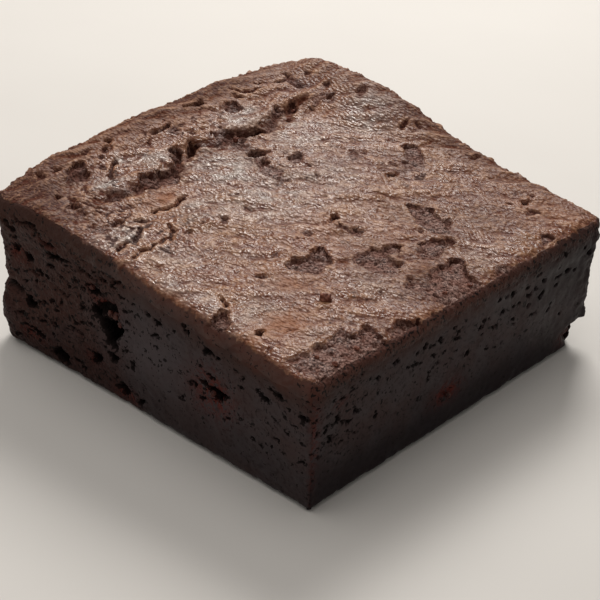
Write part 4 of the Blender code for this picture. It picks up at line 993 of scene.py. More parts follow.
def buildMesh(name, points, faces, uvs, masks, crisp=()):
    # faces is a list of arrays of quads or triangles; uvs holds one pair for each face corner;
    # crisp lists the points of a line where the shading breaks
    mesh = bpy.data.meshes.new(name)
    corners = np.concatenate([f.ravel() for f in faces])
    sizes = np.concatenate([np.full(len(f), f.shape[1]) for f in faces])
    starts = np.concatenate([[0], np.cumsum(sizes)[:-1]])
    mesh.vertices.add(len(points))
    mesh.vertices.foreach_set("co", (points * mm).astype(np.float32).ravel())
    mesh.loops.add(len(corners))
    mesh.loops.foreach_set("vertex_index", corners.astype(np.int32))
    mesh.polygons.add(len(sizes))
    mesh.polygons.foreach_set("loop_start", starts.astype(np.int32))
    mesh.update(calc_edges=True)
    mesh.validate()
    layer = mesh.uv_layers.new(name="OFBake")
    layer.uv.foreach_set("vector", np.concatenate([u.reshape(-1, 2) for u in uvs]).astype(np.float32).ravel())
    for key, values in masks.items():
        attribute = mesh.attributes.new(key, "FLOAT", "POINT")
        attribute.data.foreach_set("value", values.astype(np.float32))
    mesh.shade_smooth()
    if len(crisp):
        ends = np.zeros(2 * len(mesh.edges), dtype=np.int32)
        mesh.edges.foreach_get("vertices", ends)
        mesh.edges.foreach_set("use_edge_sharp", np.isin(ends.reshape(-1, 2), crisp).all(axis=1))
    made = bpy.data.objects.new(name, mesh)
    bpy.context.scene.collection.objects.link(made)
    return made


def closingRings(loop, centre, shares, drop=0.0):
    # Rings that close a solid inside: each is the loop drawn in towards the centre
    rings = [centre + (loop - centre) * share for share in shares]
    for ring in rings:
        ring[:, 2] -= drop
    return rings


def rimSection(walk):
    # The rim's section: how far out and how far down a walk over it leads
    relief = crustRelief
    start = math.radians(relief["rimStart"])
    reach = relief["rimRound"] / (1.0 - math.sin(start))
    angle = start + (0.5 * math.pi - start) * np.clip(walk / relief["rimWalk"], 0.0, 1.0)
    down = relief["rimFall"] * (math.cos(start) - np.cos(angle)) + np.maximum(walk - relief["rimWalk"], 0.0)
    return reach * (np.sin(angle) - math.sin(start)), down


def makeCrust(pores):
    relief = crustRelief
    cells, margin, inset = relief["cells"], relief["margin"], relief["rimRound"]
    halfX, halfY = halfWidth - inset, halfDepth - inset
    lines = np.arange(-margin, cells + margin + 1) * 2.0 / cells - 1.0
    y, x = np.meshgrid(halfY * lines, halfX * lines, indexing="ij")
    x, y = roundCorner(x, y, inset)
    raised, masks = crustTop(x, y)
    crop = (slice(margin, margin + cells + 1),) * 2
    x, y, raised = x[crop], y[crop], raised[crop]
    masks = {key: values[crop] for key, values in masks.items()}
    side = cells + 1
    number = np.arange(side * side).reshape(side, side)
    border = np.concatenate([number[0, :-1], number[:-1, -1], number[-1, :0:-1], number[:0:-1, 0]])
    topPoints = np.stack([x, y, crustLevel(x, y) + raised], axis=-1).reshape(-1, 3)
    columns = len(border)

    # over the rim and down the side; the relief runs on as if the crust lay flat
    _, _, outX, outY, face = outlineLoop((cells,) * 4, inset)
    edgeX, edgeY = topPoints[border, 0], topPoints[border, 1]
    rows = relief["skirtRows"]
    ring = np.arange(-margin, columns + margin) % columns
    total = np.array(relief["skirt"])[face]
    total = total * (1.0 + 0.16 * flatNoise(edgeX, edgeY, 3.0, 81))
    walk = np.arange(-margin, rows + 1)[:, None] / rows * total[None, ring]
    flatX, flatY = edgeX[ring] + outX[ring] * walk, edgeY[ring] + outY[ring] * walk
    skirtRaised, skirtMasks = crustTop(flatX, flatY)
    crop = (slice(margin + 1, None), slice(margin, margin + columns))
    walk, flatX, flatY, skirtRaised = walk[crop], flatX[crop], flatY[crop], skirtRaised[crop]
    skirtMasks = {key: values[crop] for key, values in skirtMasks.items()}
    outward, down = rimSection(walk)
    level = crustLevel(edgeX, edgeY)[None, :]
    z = level - down
    outlineX, outlineY = edgeX + inset * outX, edgeY + inset * outY
    along = alongFace(outlineX, outlineY, face)
    wideX, wideY = np.broadcast_to(outlineX, z.shape), np.broadcast_to(outlineY, z.shape)
    baseLevel = crustLevel(outlineX, outlineY)[None, :]
    offset, sideMasks = cutSurface(wideX, wideY, z, along, face, baseLevel, pores)
    turn = 0.5 * math.pi * np.clip(walk / relief["rimWalk"], 0.0, 1.0)
    t = walk / total[None, :]
    browned = np.array(relief["browned"])[face]
    browned = np.where(face == 0, np.interp(edgeX, *relief["brownedFront"]), browned)
    ragged = relief["edgeRagged"] * flatNoise(flatX, flatY, 1.8, 83, 3, 0.6)
    past = walk - browned - ragged
    toCut = step01(-0.6, 0.5, past)
    lumps = relief["edgeLumps"] * solidNoise(outlineX, outlineY, z, 1.4, 82, 3, 0.6)
    crumbly = np.array(relief["crumbly"])[face]
    ledge = relief["skin"] * (1.0 - t) + 0.015
    push = outward + (offset + ledge) * step01(0.2, 1.8, walk)
    push = push + lumps * crumbly * np.exp(-(past / 0.9) ** 2)
    surface = skirtRaised * (1.0 - toCut)
    push = push + surface * np.sin(turn)
    skirt = np.stack([edgeX + outX * push, edgeY + outY * push, z + surface * np.cos(turn)], axis=-1)

    # tucked in and closed under the crust
    centre = np.array([0.0, 0.0, relief["core"]])
    last = skirt[-1]
    tucked = last - np.stack([outX * 0.8, outY * 0.8, np.full(columns, 0.1)], axis=-1)
    rings = [tucked] + closingRings(tucked, centre, (0.9, 0.5))
    points = np.concatenate([topPoints, skirt.reshape(-1, 3)] + rings + [centre[None, :]])

    first = side * side
    topFaces = gridQuads(side, side, 0, False)
    seam = joinRings(border, first + np.arange(columns))
    skirtFaces = gridQuads(rows + len(rings), columns, first, True)[:, ::-1]
    lastRing = first + (rows + len(rings) - 1) * columns
    tip = len(points) - 1
    fan = closeRing(lastRing + np.arange(columns), tip, False)

    # the map: the plan, with the skirt folded out around it
    size = relief["mapSize"]
    flat = np.zeros((len(points), 2))
    flat[:first] = topPoints[:, :2] / size
    flat[first:first + rows * columns] = np.stack([flatX, flatY], axis=-1).reshape(-1, 2) / size
    hidden = np.arange(first + rows * columns, len(points))
    flat[hidden] = points[hidden, :2] / size * 0.02 + np.array([0.485, 0.485])
    flat += 0.5
    faces = [topFaces, seam, skirtFaces, fan]
    uvs = [flat[f] for f in faces]

    def filled(top, skirtValues, rest=0.0):
        # A mask for every point: the top's own, the skirt's and one value for the hidden rings
        values = np.full(len(points), rest)
        values[:first] = np.ravel(top)
        values[first:first + rows * columns] = np.broadcast_to(skirtValues, z.shape).ravel()
        return values

    noTop = np.zeros(first)
    allMasks = {key: filled(masks[key], skirtMasks[key]) for key in masks}
    allMasks["past"] = filled(noTop - 3.0, np.clip(past, -3.0, 3.0), 3.0)
    allMasks["hollowed"] = filled(noTop - 0.8, sideMasks.pop("hollowed"), -0.8)
    for key in sideMasks:
        allMasks[key] = filled(noTop, sideMasks[key])
    lastRow = first + (rows - 1) * columns + np.arange(columns)
    return buildMesh("crust", points, faces, uvs, allMasks, lastRow)


def makeCrumb(pores):
    relief = crumbRelief
    x, y, outX, outY, face = outlineLoop(relief["columns"], 0.0)
    columns = len(x)
    edgeHeight = crustLevel(x, y)
    along = alongFace(x, y, face)
    rows = relief["rows"]
    t = np.linspace(0.0, 1.0, rows)[:, None]
    z = (edgeHeight - relief["tuck"])[None, :] * t
    wideX, wideY = np.broadcast_to(x, z.shape), np.broadcast_to(y, z.shape)
    offset, masks = cutSurface(wideX, wideY, z, along, face, edgeHeight[None, :], pores)
    offset = offset - relief["tuckIn"] * step01(0.985, 1.0, t)
    # the base's own edge is a little uneven, and lies flat
    foot = relief["footWaver"] * flatNoise(x, y, 3.0, 91, 3)
    offset = offset - np.clip(foot, 0.0, None)[None, :] * step01(1.8, 0.0, z)
    sidePoints = np.stack([wideX + outX * offset, wideY + outY * offset, z], axis=-1)

    top = sidePoints[-1]
    topCentre = np.array([0.0, 0.0, top[:, 2].mean() - 1.5])
    lid = closingRings(top, topCentre, (0.97, 0.6), 1.2)
    baseCentre = np.zeros(3)
    floor = closingRings(sidePoints[0], baseCentre, (0.97, 0.9, 0.75, 0.5))
    for ring in floor:   # the base rests on its edge and rises a little inside it
        inward = 1.0 - np.abs(ring[:, :2]).max(axis=1) / 35.0
        wave = 1.0 + flatNoise(ring[:, 0], ring[:, 1], 2.0, 92)
        ring[:, 2] = np.clip(inward * 3.0, 0.0, 1.0) * relief["baseLift"] * wave
    inner = lid + [topCentre[None]] + floor + [baseCentre[None]]
    points = np.concatenate([sidePoints.reshape(-1, 3)] + inner)

    ring = np.arange(columns)
    sideFaces = gridQuads(rows, columns, 0, True)
    lidFaces = gridQuads(len(lid) + 1, columns, (rows - 1) * columns, True)
    lidTip = (rows + len(lid)) * columns
    lidFan = closeRing(lidTip - columns + ring, lidTip, True)
    floorStart = lidTip + 1
    bridge = joinRings(ring, floorStart + ring)
    floorFaces = gridQuads(len(floor), columns, floorStart, True)[:, ::-1]
    floorTip = floorStart + len(floor) * columns
    floorFan = closeRing(floorTip - columns + ring, floorTip, False)

    # the map: four bands for the cut faces on the left, the base on the right
    mapSize = relief["mapSize"]
    length = np.concatenate([[0.0], np.cumsum(np.hypot(np.diff(x), np.diff(y)))])
    starts = np.array([length[face == n][0] for n in range(4)])
    bandU = (length - starts[face] + 1.0) / mapSize
    bandV = (face * 34.0 + 1.0) / mapSize
    quadColumn = np.tile(ring, rows - 1)
    quadRow = np.repeat(np.arange(rows - 1), columns)
    width = np.hypot(x - np.roll(x, -1), y - np.roll(y, -1)) / mapSize
    u0 = bandU[quadColumn]
    u1 = u0 + width[quadColumn]
    v0 = bandV[quadColumn] + z[quadRow, quadColumn] / mapSize
    v1 = bandV[quadColumn] + z[quadRow + 1, quadColumn] / mapSize
    corners = ((u0, v0), (u1, v0), (u1, v1), (u0, v1))
    sideUv = np.stack([np.stack(corner, axis=-1) for corner in corners], axis=1)
    flat = points[:, :2] / mapSize + np.array([0.75, 0.3])
    hiddenFlat = points[:, :2] / mapSize * 0.2 + np.array([0.75, 0.8])
    faces = [sideFaces, lidFaces, lidFan, bridge, floorFaces, floorFan]
    uvs = [sideUv, hiddenFlat[lidFaces], hiddenFlat[lidFan], flat[bridge], flat[floorFaces], flat[floorFan]]

    allMasks = {}
    count = rows * columns
    for key, values in masks.items():
        filled = np.zeros(len(points))
        filled[:count] = np.broadcast_to(values, z.shape).ravel()
        filled[count:] = relief["hidden"].get(key, 0.0)
        allMasks[key] = filled
    return buildMesh("crumb", points, faces, uvs, allMasks)


looseCrumbs = {
    "onTop": [   # x, y, size across; the large round one lies near the middle
        (22.9, -18.8, 1.7), (33.4, -3.4, 0.9), (31.6, -30.2, 0.8), (33.8, -24, 0.8), (-19.4, 4.6, 0.9),
        (-20.8, -7.4, 0.9), (-19.2, -16.4, 0.8), (-18.8, 17.2, 0.9), (-21.2, 21, 0.8), (34.2, 1.8, 0.8),
        (34.4, -29.4, 0.9), (-20.2, 9.4, 0.8)],
    "inFront": [   # x, height, size across
        (-6.2, 16.2, 1.5), (-7.4, 16.3, 1), (-5.2, 15.2, 1), (-11.6, 19.4, 1), (15.4, 12.2, 0.9)],
    "onRight": [(-3.4, 6.6, 0.9)],   # y, height, size across
    "sunk": 0.38, "seed": 5, "around": 28, "up": 16,
    # the crumbs on top take the brown and pale tones as painted light, those in hollows the dark and dim
    # tones as painted shade
    "tones": {
        "brown": (92, 46, 34), "pale": (130, 80, 62), "dark": (52, 24, 20), "dim": (84, 46, 38),
        "fleck": (98, 62, 52)},
    "roughness": (0.45, 0.7), "specular": 0.25, "grain": (0.5, 0.25),
}


def makeCrumbs():
    # Small lumps of crumb, each an uneven ball, lying in the tears and hollows
    plan = looseCrumbs
    dice = np.random.default_rng(plan["seed"])
    places = []
    for x, y, size in plan["onTop"]:
        raised, _ = crustTop(np.array([[x] * 3] * 3), np.array([[y] * 3] * 3))
        level = crustLevel(np.array([x]), np.array([y]))[0] + raised[1, 1]
        places.append((x, y, level + (0.5 - plan["sunk"]) * size, size, 1.0))
    for x, z, size in plan["inFront"]:
        places.append((x, 0.6 * size - halfDepth, z, size, 0.0))
    for y, z, size in plan["onRight"]:
        places.append((halfWidth - 0.6 * size, y, z, size, 0.0))
    around, up = plan["around"], plan["up"]
    turn, tilt = np.meshgrid(np.arange(around) / around * 2.0 * math.pi, np.arange(1, up) / up * math.pi)
    ball = np.stack([np.sin(tilt) * np.cos(turn), np.sin(tilt) * np.sin(turn), np.cos(tilt)], axis=-1)
    ball = np.concatenate([ball.reshape(-1, 3), [[0.0, 0.0, 1.0], [0.0, 0.0, -1.0]]])
    column = np.arange(around)
    poles = (up - 1) * around
    upper = closeRing(column, poles, True)
    lower = closeRing((up - 2) * around + column, poles + 1, False)
    quads = gridQuads(up - 1, around, 0, True)[:, ::-1]
    points, faces, uvs = [], [[], []], [[], []]
    for number, (x, y, z, size, _) in enumerate(places):
        stretch = 0.5 * size * dice.uniform(0.8, 1.15, 3)
        lump = 0.95 + 0.30 * layeredNoise(*(ball.T * 1.5), 131 + number, 4, 0.65)
        points.append(ball * lump[:, None] * stretch + np.array([x, y, z]))
        corner = np.array([number % 6, number // 6]) / 6.4 + 0.02
        flat = corner + 0.12 * (0.5 + 0.5 * ball[:, :2] * (1.0 - 0.35 * ball[:, 2:]) / 1.35)
        for part, kind in enumerate((quads, np.concatenate([upper, lower]))):
            faces[part].append(kind + number * len(ball))
            uvs[part].append(flat[kind])
    joined = np.concatenate(points)
    joinedFaces = [np.concatenate(part) for part in faces]
    joinedUvs = [np.concatenate(part) for part in uvs]
    # lit is 1 for the crumbs on top, whose colour is painted lit
    lit = np.repeat([place[-1] for place in places], len(ball))
    return buildMesh("looseCrumbs", joined, joinedFaces, joinedUvs, {"lit": lit})


def addNode(tree, kind, sockets=None, **settings):
    node = tree.nodes.new(kind)
    for name, value in settings.items():
        setattr(node, name, value)
    for name, value in (sockets or {}).items():
        if isinstance(value, bpy.types.NodeSocket):
            tree.links.new(value, node.inputs[name])
        else:
            node.inputs[name].default_value = value
    return node


def mask(tree, name):
    return addNode(tree, "ShaderNodeAttribute", attribute_name=name).outputs["Fac"]


def mixColour(tree, share, base, tone):
    # Sockets 0, 6 and 7 of a colour mix are its share and its two colours
    return addNode(tree, "ShaderNodeMix", {0: share, 6: base, 7: tone}, data_type="RGBA").outputs[2]


def layOver(tree, base, layers):
    # Lays colours over a base one after another, each with its own share
    for share, tone in layers:
        base = mixColour(tree, share, base, tone)
    return base


def calc(tree, operation, a, b, clamp=False):
    return addNode(tree, "ShaderNodeMath", {0: a, 1: b}, operation=operation, use_clamp=clamp).outputs[0]


def times(tree, a, b, clamp=False):
    return calc(tree, "MULTIPLY", a, b, clamp)


def plus(tree, a, b, clamp=False):
    return calc(tree, "ADD", a, b, clamp)


def spread(tree, value, low, high, toLow=0.0, toHigh=1.0):
    sockets = {"Value": value, "From Min": low, "From Max": high, "To Min": toLow, "To Max": toHigh}
    return addNode(tree, "ShaderNodeMapRange", sockets).outputs["Result"]


def noiseAt(tree, place, size, detail=2.0, rough=0.5, distort=0.0):
    # size is in millimetres
    sockets = {"Vector": place, "Scale": 1.0 / (size * mm), "Detail": detail, "Roughness": rough,
               "Distortion": distort}
    return addNode(tree, "ShaderNodeTexNoise", sockets).outputs["Fac"]


def startMaterial(name):
    material = bpy.data.materials.new(name)
    material.use_nodes = True
    tree = material.node_tree
    place = addNode(tree, "ShaderNodeTexCoord").outputs["Object"]
    return material, tree, tree.nodes["Principled BSDF"], place


def tonesOf(look):
    # A look's tones, from 0 to 255 as a screen shows them, as linear colours
    tones = {}
    for name, tone in look["tones"].items():
        shares = [value / 255.0 for value in tone]
        linear = [((v + 0.055) / 1.055) ** 2.4 if v > 0.04 else v / 12.92 for v in shares]
        tones[name] = (*linear, 1.0)
    return tones


def finishBump(tree, shader, place, sizes):
    # Fine bump from summed noises, each a size and a depth in millimetres, a share and at times
    # its own place
    total = 0.0
    for size, deep, share, *own in sizes:
        one = times(tree, noiseAt(tree, own[0] if own else place, size, 0.5, 0.5), deep * mm)
        total = plus(tree, times(tree, one, share), total)
    bump = addNode(tree, "ShaderNodeBump", {"Strength": 1.0, "Distance": 1.0, "Height": total})
    tree.links.new(bump.outputs["Normal"], shader.inputs["Normal"])


cutLook = {
    # the sheen tone is a painted sheen; the foot and dark tones are painted shade
    "tones": {
        "grey": (66, 58, 59), "brown": (62, 40, 35), "dark": (10, 4, 3), "dim": (27, 15, 13),
        "redCrumb": (90, 40, 33), "smear": (60, 37, 30), "rim": (79, 49, 41), "paintedFaceSheen": (77, 70, 72),
        "foot": (27, 22, 25), "edge": (66, 40, 33), "leftEdge": (52, 27, 19)},
    "leftBrown": 0.75, "patchBrown": 0.4, "smear": 0.85, "paintedFaceSheen": 0.75, "foot": 0.8,
    "smearBand": (5.8, 2.6), "rimBand": (3.6, 1.8),    # millimetres below the rim, from none to full
    "roughness": (0.36, 0.52), "rougher": 0.25, "specular": 0.05,
    "waves": (1.6, 0.07), "grain": (0.5, 0.35),        # bump: size and depth in millimetres
}


def cutColour(tree, place):
    # Colour of the cut faces: greyer where the knife smeared them, browner and redder in hollows, with a
    # painted sheen in the front's middle and painted shade in hollows, pores and towards the foot
    look, tones = cutLook, tonesOf(cutLook)
    leftness = mask(tree, "leftness")
    slow = spread(tree, noiseAt(tree, place, 6.0, 3.0), 0.40, 0.60)
    browner = times(tree, slow, look["patchBrown"])
    browner = plus(tree, times(tree, leftness, look["leftBrown"]), browner, True)
    fine = noiseAt(tree, place, 0.8, 4.0, 0.65)
    below = plus(tree, mask(tree, "below"), times(tree, noiseAt(tree, place, 4.0, 2.0), 3.0))
    rim = times(tree, spread(tree, below, *look["rimBand"]), calc(tree, "SUBTRACT", 1.0, leftness))
    red = times(tree, mask(tree, "redness"), spread(tree, fine, 0.40, 0.54))
    ragged = times(tree, calc(tree, "SUBTRACT", noiseAt(tree, place, 0.55, 1.0), 0.5), 1.5)
    # pores and hollows painted in the dark tone, as the shade in them
    paintedPoreShade = spread(tree, plus(tree, mask(tree, "hollowed"), ragged), -0.03, 0.03, 0.0, 0.85)
    patch = spread(tree, noiseAt(tree, place, 5.0, 2.0), 0.40, 0.60, 0.0, 0.06)
    patch = plus(tree, patch, times(tree, mask(tree, "rough"), 0.07))
    # tiny pores painted as dark specks, as the shade in them
    paintedSpeckShade = plus(tree, noiseAt(tree, place, 0.6, 1.5, 0.6, 0.6), patch)
    return layOver(tree, tones["grey"], (
        (browner, tones["brown"]),
        (spread(tree, fine, 0.50, 0.68, 0.0, 0.6), tones["dim"]),
        (times(tree, spread(tree, below, *look["smearBand"]), look["smear"]), tones["smear"]),
        (rim, tones["rim"]),
        # painted sheen in the front's middle
        (times(tree, mask(tree, "paintedFaceSheen"), look["paintedFaceSheen"]), tones["paintedFaceSheen"]),
        # painted shade towards the foot and on the right face's far end
        (times(tree, mask(tree, "foot"), look["foot"]), tones["foot"]),
        (red, tones["redCrumb"]),
        # painted shade where the face lies below its surroundings
        (times(tree, mask(tree, "paintedHollowShade"), 0.25), tones["dark"]),
        (paintedPoreShade, tones["dark"]),
        (spread(tree, paintedSpeckShade, 0.685, 0.71, 0.0, 0.9), tones["dark"]),
        # painted shade in the deepest hollows
        (times(tree, mask(tree, "deep"), 0.85), tones["dark"])))


crustLook = {
    # the two palest tones are painted glints and the silvery grey a painted sheen; the creases', dark lines',
    # holes' and shade zones' tones are painted shade
    "tones": {
        "brown": (114, 68, 42), "red": (107, 56, 37), "ochre": (124, 80, 44), "pink": (135, 91, 70),
        "paintedGlint": (177, 134, 104), "glossAndPaintedSheen": (149, 133, 124), "paintedSheenGlint": (198, 184, 176), "rust": (137, 86, 55),
        "redBare": (116, 73, 60), "bare": (150, 120, 110), "pore": (64, 38, 32), "crease": (88, 41, 24),
        "dark": (52, 20, 9), "fill": (64, 27, 12), "matte": (84, 62, 59), "shade": (66, 32, 22)},
    # shares: dark lays the painted shade of the shade zones, dips the painted shade in creases, trough that
    # of the valley, hole that of the holes
    "smooth": 0.7, "rust": 0.95, "dark": 0.85, "dips": 0.8, "trough": 0.75, "hole": 0.9,
    "roughness": (0.18, 0.35), "gapRougher": 0.55, "specular": 0.26,
    "rougher": {"glossAndPaintedSheen": -0.06, "dark": 0.32, "bare": 0.18, "smooth": 0.14, "rust": 0.2, "trough": 0.35},
    "grainScale": (0.6, 1.0, 1.0),
    "glint": (0.42, 0.36), "grain": (0.5, 0.50),       # bump: size and depth in millimetres
}


def crustMaterial():
    material, tree, shader, place = startMaterial("crust finish")
    look, tones, cutTones = crustLook, tonesOf(crustLook), tonesOf(cutLook)
    turn = (0.0, 0.0, math.radians(-crustRelief["grainTurn"]))
    sockets = {"Vector": place, "Rotation": turn, "Scale": look["grainScale"]}
    grain = addNode(tree, "ShaderNodeMapping", sockets).outputs[0]
    slow = noiseAt(tree, grain, 5.0, 3.0)
    tint = noiseAt(tree, grain, 2.6, 3.0, 0.6, 0.4)
    patch = noiseAt(tree, place, 3.2, 2.0, 0.55)
    middle = noiseAt(tree, place, 2.0, 4.0, 0.6)
    fine = noiseAt(tree, place, 0.5, 3.0, 0.6)
    ragged = calc(tree, "SUBTRACT", noiseAt(tree, place, 0.55, 2.0), 0.5)

    # the browned skin: slow changes of hue, a painted silvery sheen and rusty zones, painted highlights on
    # the ridges and painted shade in the creases
    # the glossy zones, where a silvery sheen and whiter glints are painted on
    glossAndPaintedSheen = times(tree, mask(tree, "glossAndPaintedSheen"), spread(tree, patch, 0.38, 0.54, 0.15, 1.0), True)
    # pale: the tone of painted glints, whiter in the glossy zones
    pale = mixColour(tree, glossAndPaintedSheen, tones["paintedGlint"], tones["paintedSheenGlint"])
    paintedRidgeHighlight = spread(tree, times(tree, mask(tree, "crease"), -1.0), 0.1, 0.9)
    clear = spread(tree, mask(tree, "torn"), -0.8, -0.3, 0.5, 0.05)   # no painted highlight along the tears
    paintedCreaseShade = spread(tree, mask(tree, "crease"), 0.05, 0.9)
    trough = mask(tree, "trough")
    base = mixColour(tree, spread(tree, slow, 0.42, 0.56), tones["red"], tones["brown"])
    base = layOver(tree, base, (
        (spread(tree, slow, 0.54, 0.64, 0.0, 0.8), tones["ochre"]),
        (spread(tree, tint, 0.46, 0.60, 0.0, 0.75), tones["pink"]),
        (glossAndPaintedSheen, tones["glossAndPaintedSheen"]),
        # mottles of painted shade in the crease tone and of painted glints in the pale tone
        (spread(tree, patch, 0.45, 0.33, 0.0, 0.45), tones["crease"]),
        (spread(tree, patch, 0.55, 0.68, 0.0, 0.4), pale),
        (spread(tree, middle, 0.46, 0.34, 0.0, 0.55), tones["crease"]),
        (spread(tree, middle, 0.54, 0.68, 0.0, 0.6), pale),
        (times(tree, mask(tree, "smooth"), look["smooth"], True), tones["matte"]),
        (times(tree, mask(tree, "rust"), look["rust"], True), tones["rust"]),
        # painted shade over the shade zones
        (times(tree, mask(tree, "dark"), look["dark"], True), tones["shade"]),
        # painted highlights on the ridges and painted shade in the creases
        (times(tree, paintedRidgeHighlight, clear), pale),
        (times(tree, paintedCreaseShade, look["dips"]), tones["crease"]),
        # fine mottles of painted glints and painted shade
        (spread(tree, fine, 0.5, 0.7, 0.0, 0.45), pale),
        (spread(tree, fine, 0.44, 0.32, 0.0, 0.55), tones["crease"]),
        # painted shade in the bottom of the valley
        (times(tree, trough, look["trough"]), tones["crease"]),
        (times(tree, trough, spread(tree, middle, 0.56, 0.44, 0.0, 0.8)), tones["dark"])))

    # the torn places: bare crumb, a painted shadow line along the far edge, and cracks and deep holes painted
    # in shade
    inside = plus(tree, mask(tree, "torn"), times(tree, ragged, 0.7))
    bareShare = times(tree, spread(tree, inside, -0.05, 0.08), mask(tree, "bare"))
    pored = spread(tree, noiseAt(tree, place, 0.34, 2.0, 0.6), 0.42, 0.60)
    bare = layOver(tree, tones["pore"], (
        (pored, tones["bare"]),
        (mask(tree, "strip"), tones["pore"]),
        (spread(tree, middle, 0.42, 0.58, 0.0, 0.45), tones["redBare"])))
    # a painted shadow line just inside the far edge of each tear
    paintedEdgeShadow = times(tree, spread(tree, inside, -0.04, 0.06), spread(tree, inside, 0.42, 0.18))
    paintedEdgeShadow = times(tree, paintedEdgeShadow, spread(tree, noiseAt(tree, place, 1.8, 2.0), 0.40, 0.52, 0.25, 1.0))
    paintedEdgeShadow = times(tree, paintedEdgeShadow, plus(tree, times(tree, mask(tree, "farSide"), 0.85), 0.10), True)
    # cracks painted dark, as the shade in them
    paintedCrackShade = spread(tree, plus(tree, mask(tree, "cracked"), times(tree, ragged, 0.35)), -0.06, 0.08, 0.0, 0.9)
    line = calc(tree, "MAXIMUM", paintedEdgeShadow, paintedCrackShade)
    gaps = calc(tree, "MAXIMUM", line, mask(tree, "hole"))

    # over the rim the browned edge gives way to the cut face
    past = plus(tree, mask(tree, "past"), ragged)
    edge = mixColour(tree, mask(tree, "leftness"), cutTones["edge"], cutTones["leftEdge"])
    base = layOver(tree, base, (
        (bareShare, bare),
        # painted shade in the holes
        (times(tree, mask(tree, "hole"), look["hole"]), tones["fill"]),
        (line, tones["dark"]),
        (spread(tree, past, -0.5, 0.05, 0.0, 0.8), edge),
        (spread(tree, past, -0.15, 0.35), cutColour(tree, place))))
    tree.links.new(base, shader.inputs["Base Color"])

    rough = spread(tree, middle, 0.35, 0.65, *look["roughness"])
    for name, amount in look["rougher"].items():
        rough = plus(tree, rough, times(tree, mask(tree, name), amount))
    rough = plus(tree, rough, times(tree, calc(tree, "MAXIMUM", paintedCreaseShade, gaps), look["gapRougher"]))
    rough = plus(tree, rough, spread(tree, past, -0.8, 0.2, 0.0, 0.4), True)
    tree.links.new(rough, shader.inputs["Roughness"])
    shader.inputs["Specular IOR Level"].default_value = look["specular"]
    onTop = spread(tree, past, -0.7, 0.15, 1.0, 0.0)
    onCut = times(tree, mask(tree, "rough"), spread(tree, past, -0.8, 0.2))
    finishBump(tree, shader, place, (
        (*look["glint"], onTop, grain),
        (*look["grain"], times(tree, bareShare, onTop)),
        (*cutLook["waves"], spread(tree, past, -1.0, 0.0)),
        (*cutLook["grain"], onCut)))
    return material


def crumbMaterial():
    material, tree, shader, place = startMaterial("crumb finish")
    look = cutLook
    tree.links.new(cutColour(tree, place), shader.inputs["Base Color"])
    rough = spread(tree, noiseAt(tree, place, 1.1, 3.0, 0.6), 0.3, 0.7, *look["roughness"])
    rough = plus(tree, rough, times(tree, mask(tree, "rough"), look["rougher"]), True)
    tree.links.new(rough, shader.inputs["Roughness"])
    shader.inputs["Specular IOR Level"].default_value = look["specular"]
    finishBump(tree, shader, place, ((*look["waves"], 1.0), (*look["grain"], mask(tree, "rough"))))
    return material


def looseMaterial():
    material, tree, shader, place = startMaterial("loose crumb finish")
    look, tones = looseCrumbs, tonesOf(looseCrumbs)
    fine = noiseAt(tree, place, 0.5, 2.0)
    mottle = spread(tree, fine, 0.38, 0.62)
    # a lit copy for the crumbs on top and a shaded copy for those in hollows: painted light and painted shade
    onTop = mixColour(tree, mottle, tones["brown"], tones["pale"])
    inShade = mixColour(tree, mottle, tones["dark"], tones["dim"])
    flecks = spread(tree, noiseAt(tree, place, 0.4, 1.0), 0.58, 0.70, 0.0, 0.4)
    base = layOver(tree, inShade, ((mask(tree, "lit"), onTop), (flecks, tones["fleck"])))
    tree.links.new(base, shader.inputs["Base Color"])
    tree.links.new(spread(tree, fine, 0.3, 0.7, *look["roughness"]), shader.inputs["Roughness"])
    shader.inputs["Specular IOR Level"].default_value = look["specular"]
    finishBump(tree, shader, place, ((*look["grain"], 1.0),))
    return material


cameraPlace = {
    "azimuth": 42.19, "elevation": 30.5, "roll": 1.69, "distance": 278.5, "lens": 102.0,
    "target": (5.92, -5.58, 12.24),   # millimetres from the middle of the block's base
}
lightPlan = {   # azimuth and elevation seen from the block, distance, size, power, colour
    "window": (216.0, 42.0, 0.75, 0.30, 4.6, (1.0, 0.965, 0.92)),
    "overhead": (300.0, 74.0, 0.9, 0.9, 3.0, (1.0, 0.965, 0.93)),
    "front": (20.0, 30.0, 0.9, 0.6, 0.25, (0.92, 0.96, 1.0)),
}
worldLight = {"tint": (1.0, 0.95, 0.90, 1.0), "strength": 0.26}


def placeOnSphere(azimuth, elevation, distance):
    a, e = math.radians(azimuth), math.radians(elevation)
    return Vector((math.sin(a) * math.cos(e), -math.cos(a) * math.cos(e), math.sin(e))) * distance


def makeCamera(middle):
    plan = cameraPlace
    target = middle + Vector(plan["target"]) * mm
    back = placeOnSphere(plan["azimuth"], plan["elevation"], 1.0)
    data = bpy.data.cameras.new("camera")
    data.lens = plan["lens"]
    data.sensor_width = 36.0
    data.clip_start = 0.01
    made = bpy.data.objects.new("camera", data)
    bpy.context.scene.collection.objects.link(made)
    turn = (-back).to_track_quat("-Z", "Y").to_matrix().to_4x4()
    roll = Matrix.Rotation(math.radians(plan["roll"]), 4, "Z")
    made.matrix_world = Matrix.Translation(target + back * plan["distance"] * mm) @ turn @ roll
    bpy.context.scene.camera = made


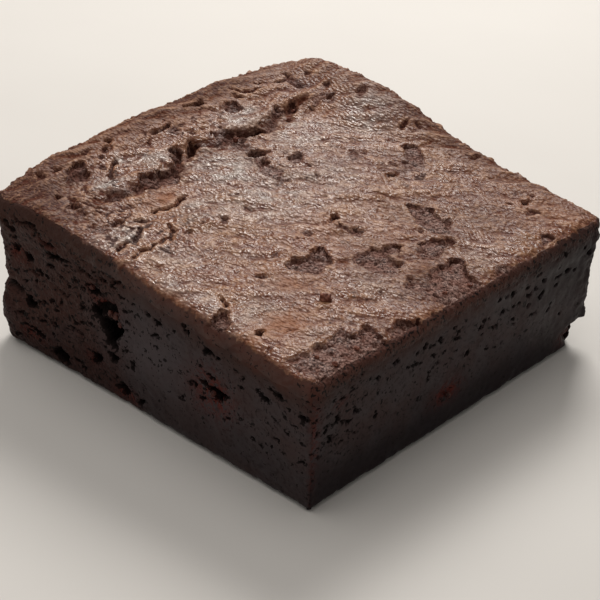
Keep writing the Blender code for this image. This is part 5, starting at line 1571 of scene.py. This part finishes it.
def makeLights(middle):
    for name, (azimuth, elevation, distance, size, power, tint) in lightPlan.items():
        data = bpy.data.lights.new(name, "AREA")
        data.shape = "SQUARE"
        data.size = size
        data.energy = power
        data.color = tint
        made = bpy.data.objects.new(name, data)
        bpy.context.scene.collection.objects.link(made)
        offset = placeOnSphere(azimuth, elevation, distance)
        made.location = middle + offset
        made.rotation_euler = (-offset).to_track_quat("-Z", "Y").to_euler()
    world = bpy.data.worlds.new("studio")
    world.use_nodes = True
    background = world.node_tree.nodes["Background"]
    background.inputs["Color"].default_value = worldLight["tint"]
    background.inputs["Strength"].default_value = worldLight["strength"]
    bpy.context.scene.world = world


floorLook = {
    "half": 1.5,   # metres
    "dark": (0.62, 0.60, 0.57, 1.0), "pale": (0.66, 0.64, 0.61, 1.0), "roughness": 0.7,
}


def makeFloor():
    mesh = bpy.data.meshes.new("floor")
    half = floorLook["half"]
    corners = [(-half, -half, 0), (half, -half, 0), (half, half, 0), (-half, half, 0)]
    mesh.from_pydata(corners, [], [(0, 1, 2, 3)])
    made = bpy.data.objects.new("floor", mesh)
    bpy.context.scene.collection.objects.link(made)
    material, tree, shader, place = startMaterial("floor finish")
    tint = mixColour(tree, noiseAt(tree, place, 40.0, 2.0), floorLook["dark"], floorLook["pale"])
    tree.links.new(tint, shader.inputs["Base Color"])
    shader.inputs["Roughness"].default_value = floorLook["roughness"]
    mesh.materials.append(material)


low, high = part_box("brownie")
middle = Vector(((low[0] + high[0]) * 0.5, (low[1] + high[1]) * 0.5, low[2]))
makeCamera(middle)
makeLights(middle)
makeFloor()
print("stage ready")

pores = listPores()
crust = makeCrust(pores)
print("crust built:", len(crust.data.vertices), "points")
crumb = makeCrumb(pores)
print("crumb built:", len(crumb.data.vertices), "points")
crust.data.materials.append(crustMaterial())
crumb.data.materials.append(crumbMaterial())
crumbs = makeCrumbs()
crumbs.data.materials.append(looseMaterial())
print("loose crumbs built:", len(crumbs.data.polygons), "faces")
for piece in (crust, crumb, crumbs):
    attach(piece, "root")
    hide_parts("brownie")

bpy.context.scene.view_settings.view_transform = "Standard"
bpy.context.view_layer.update()
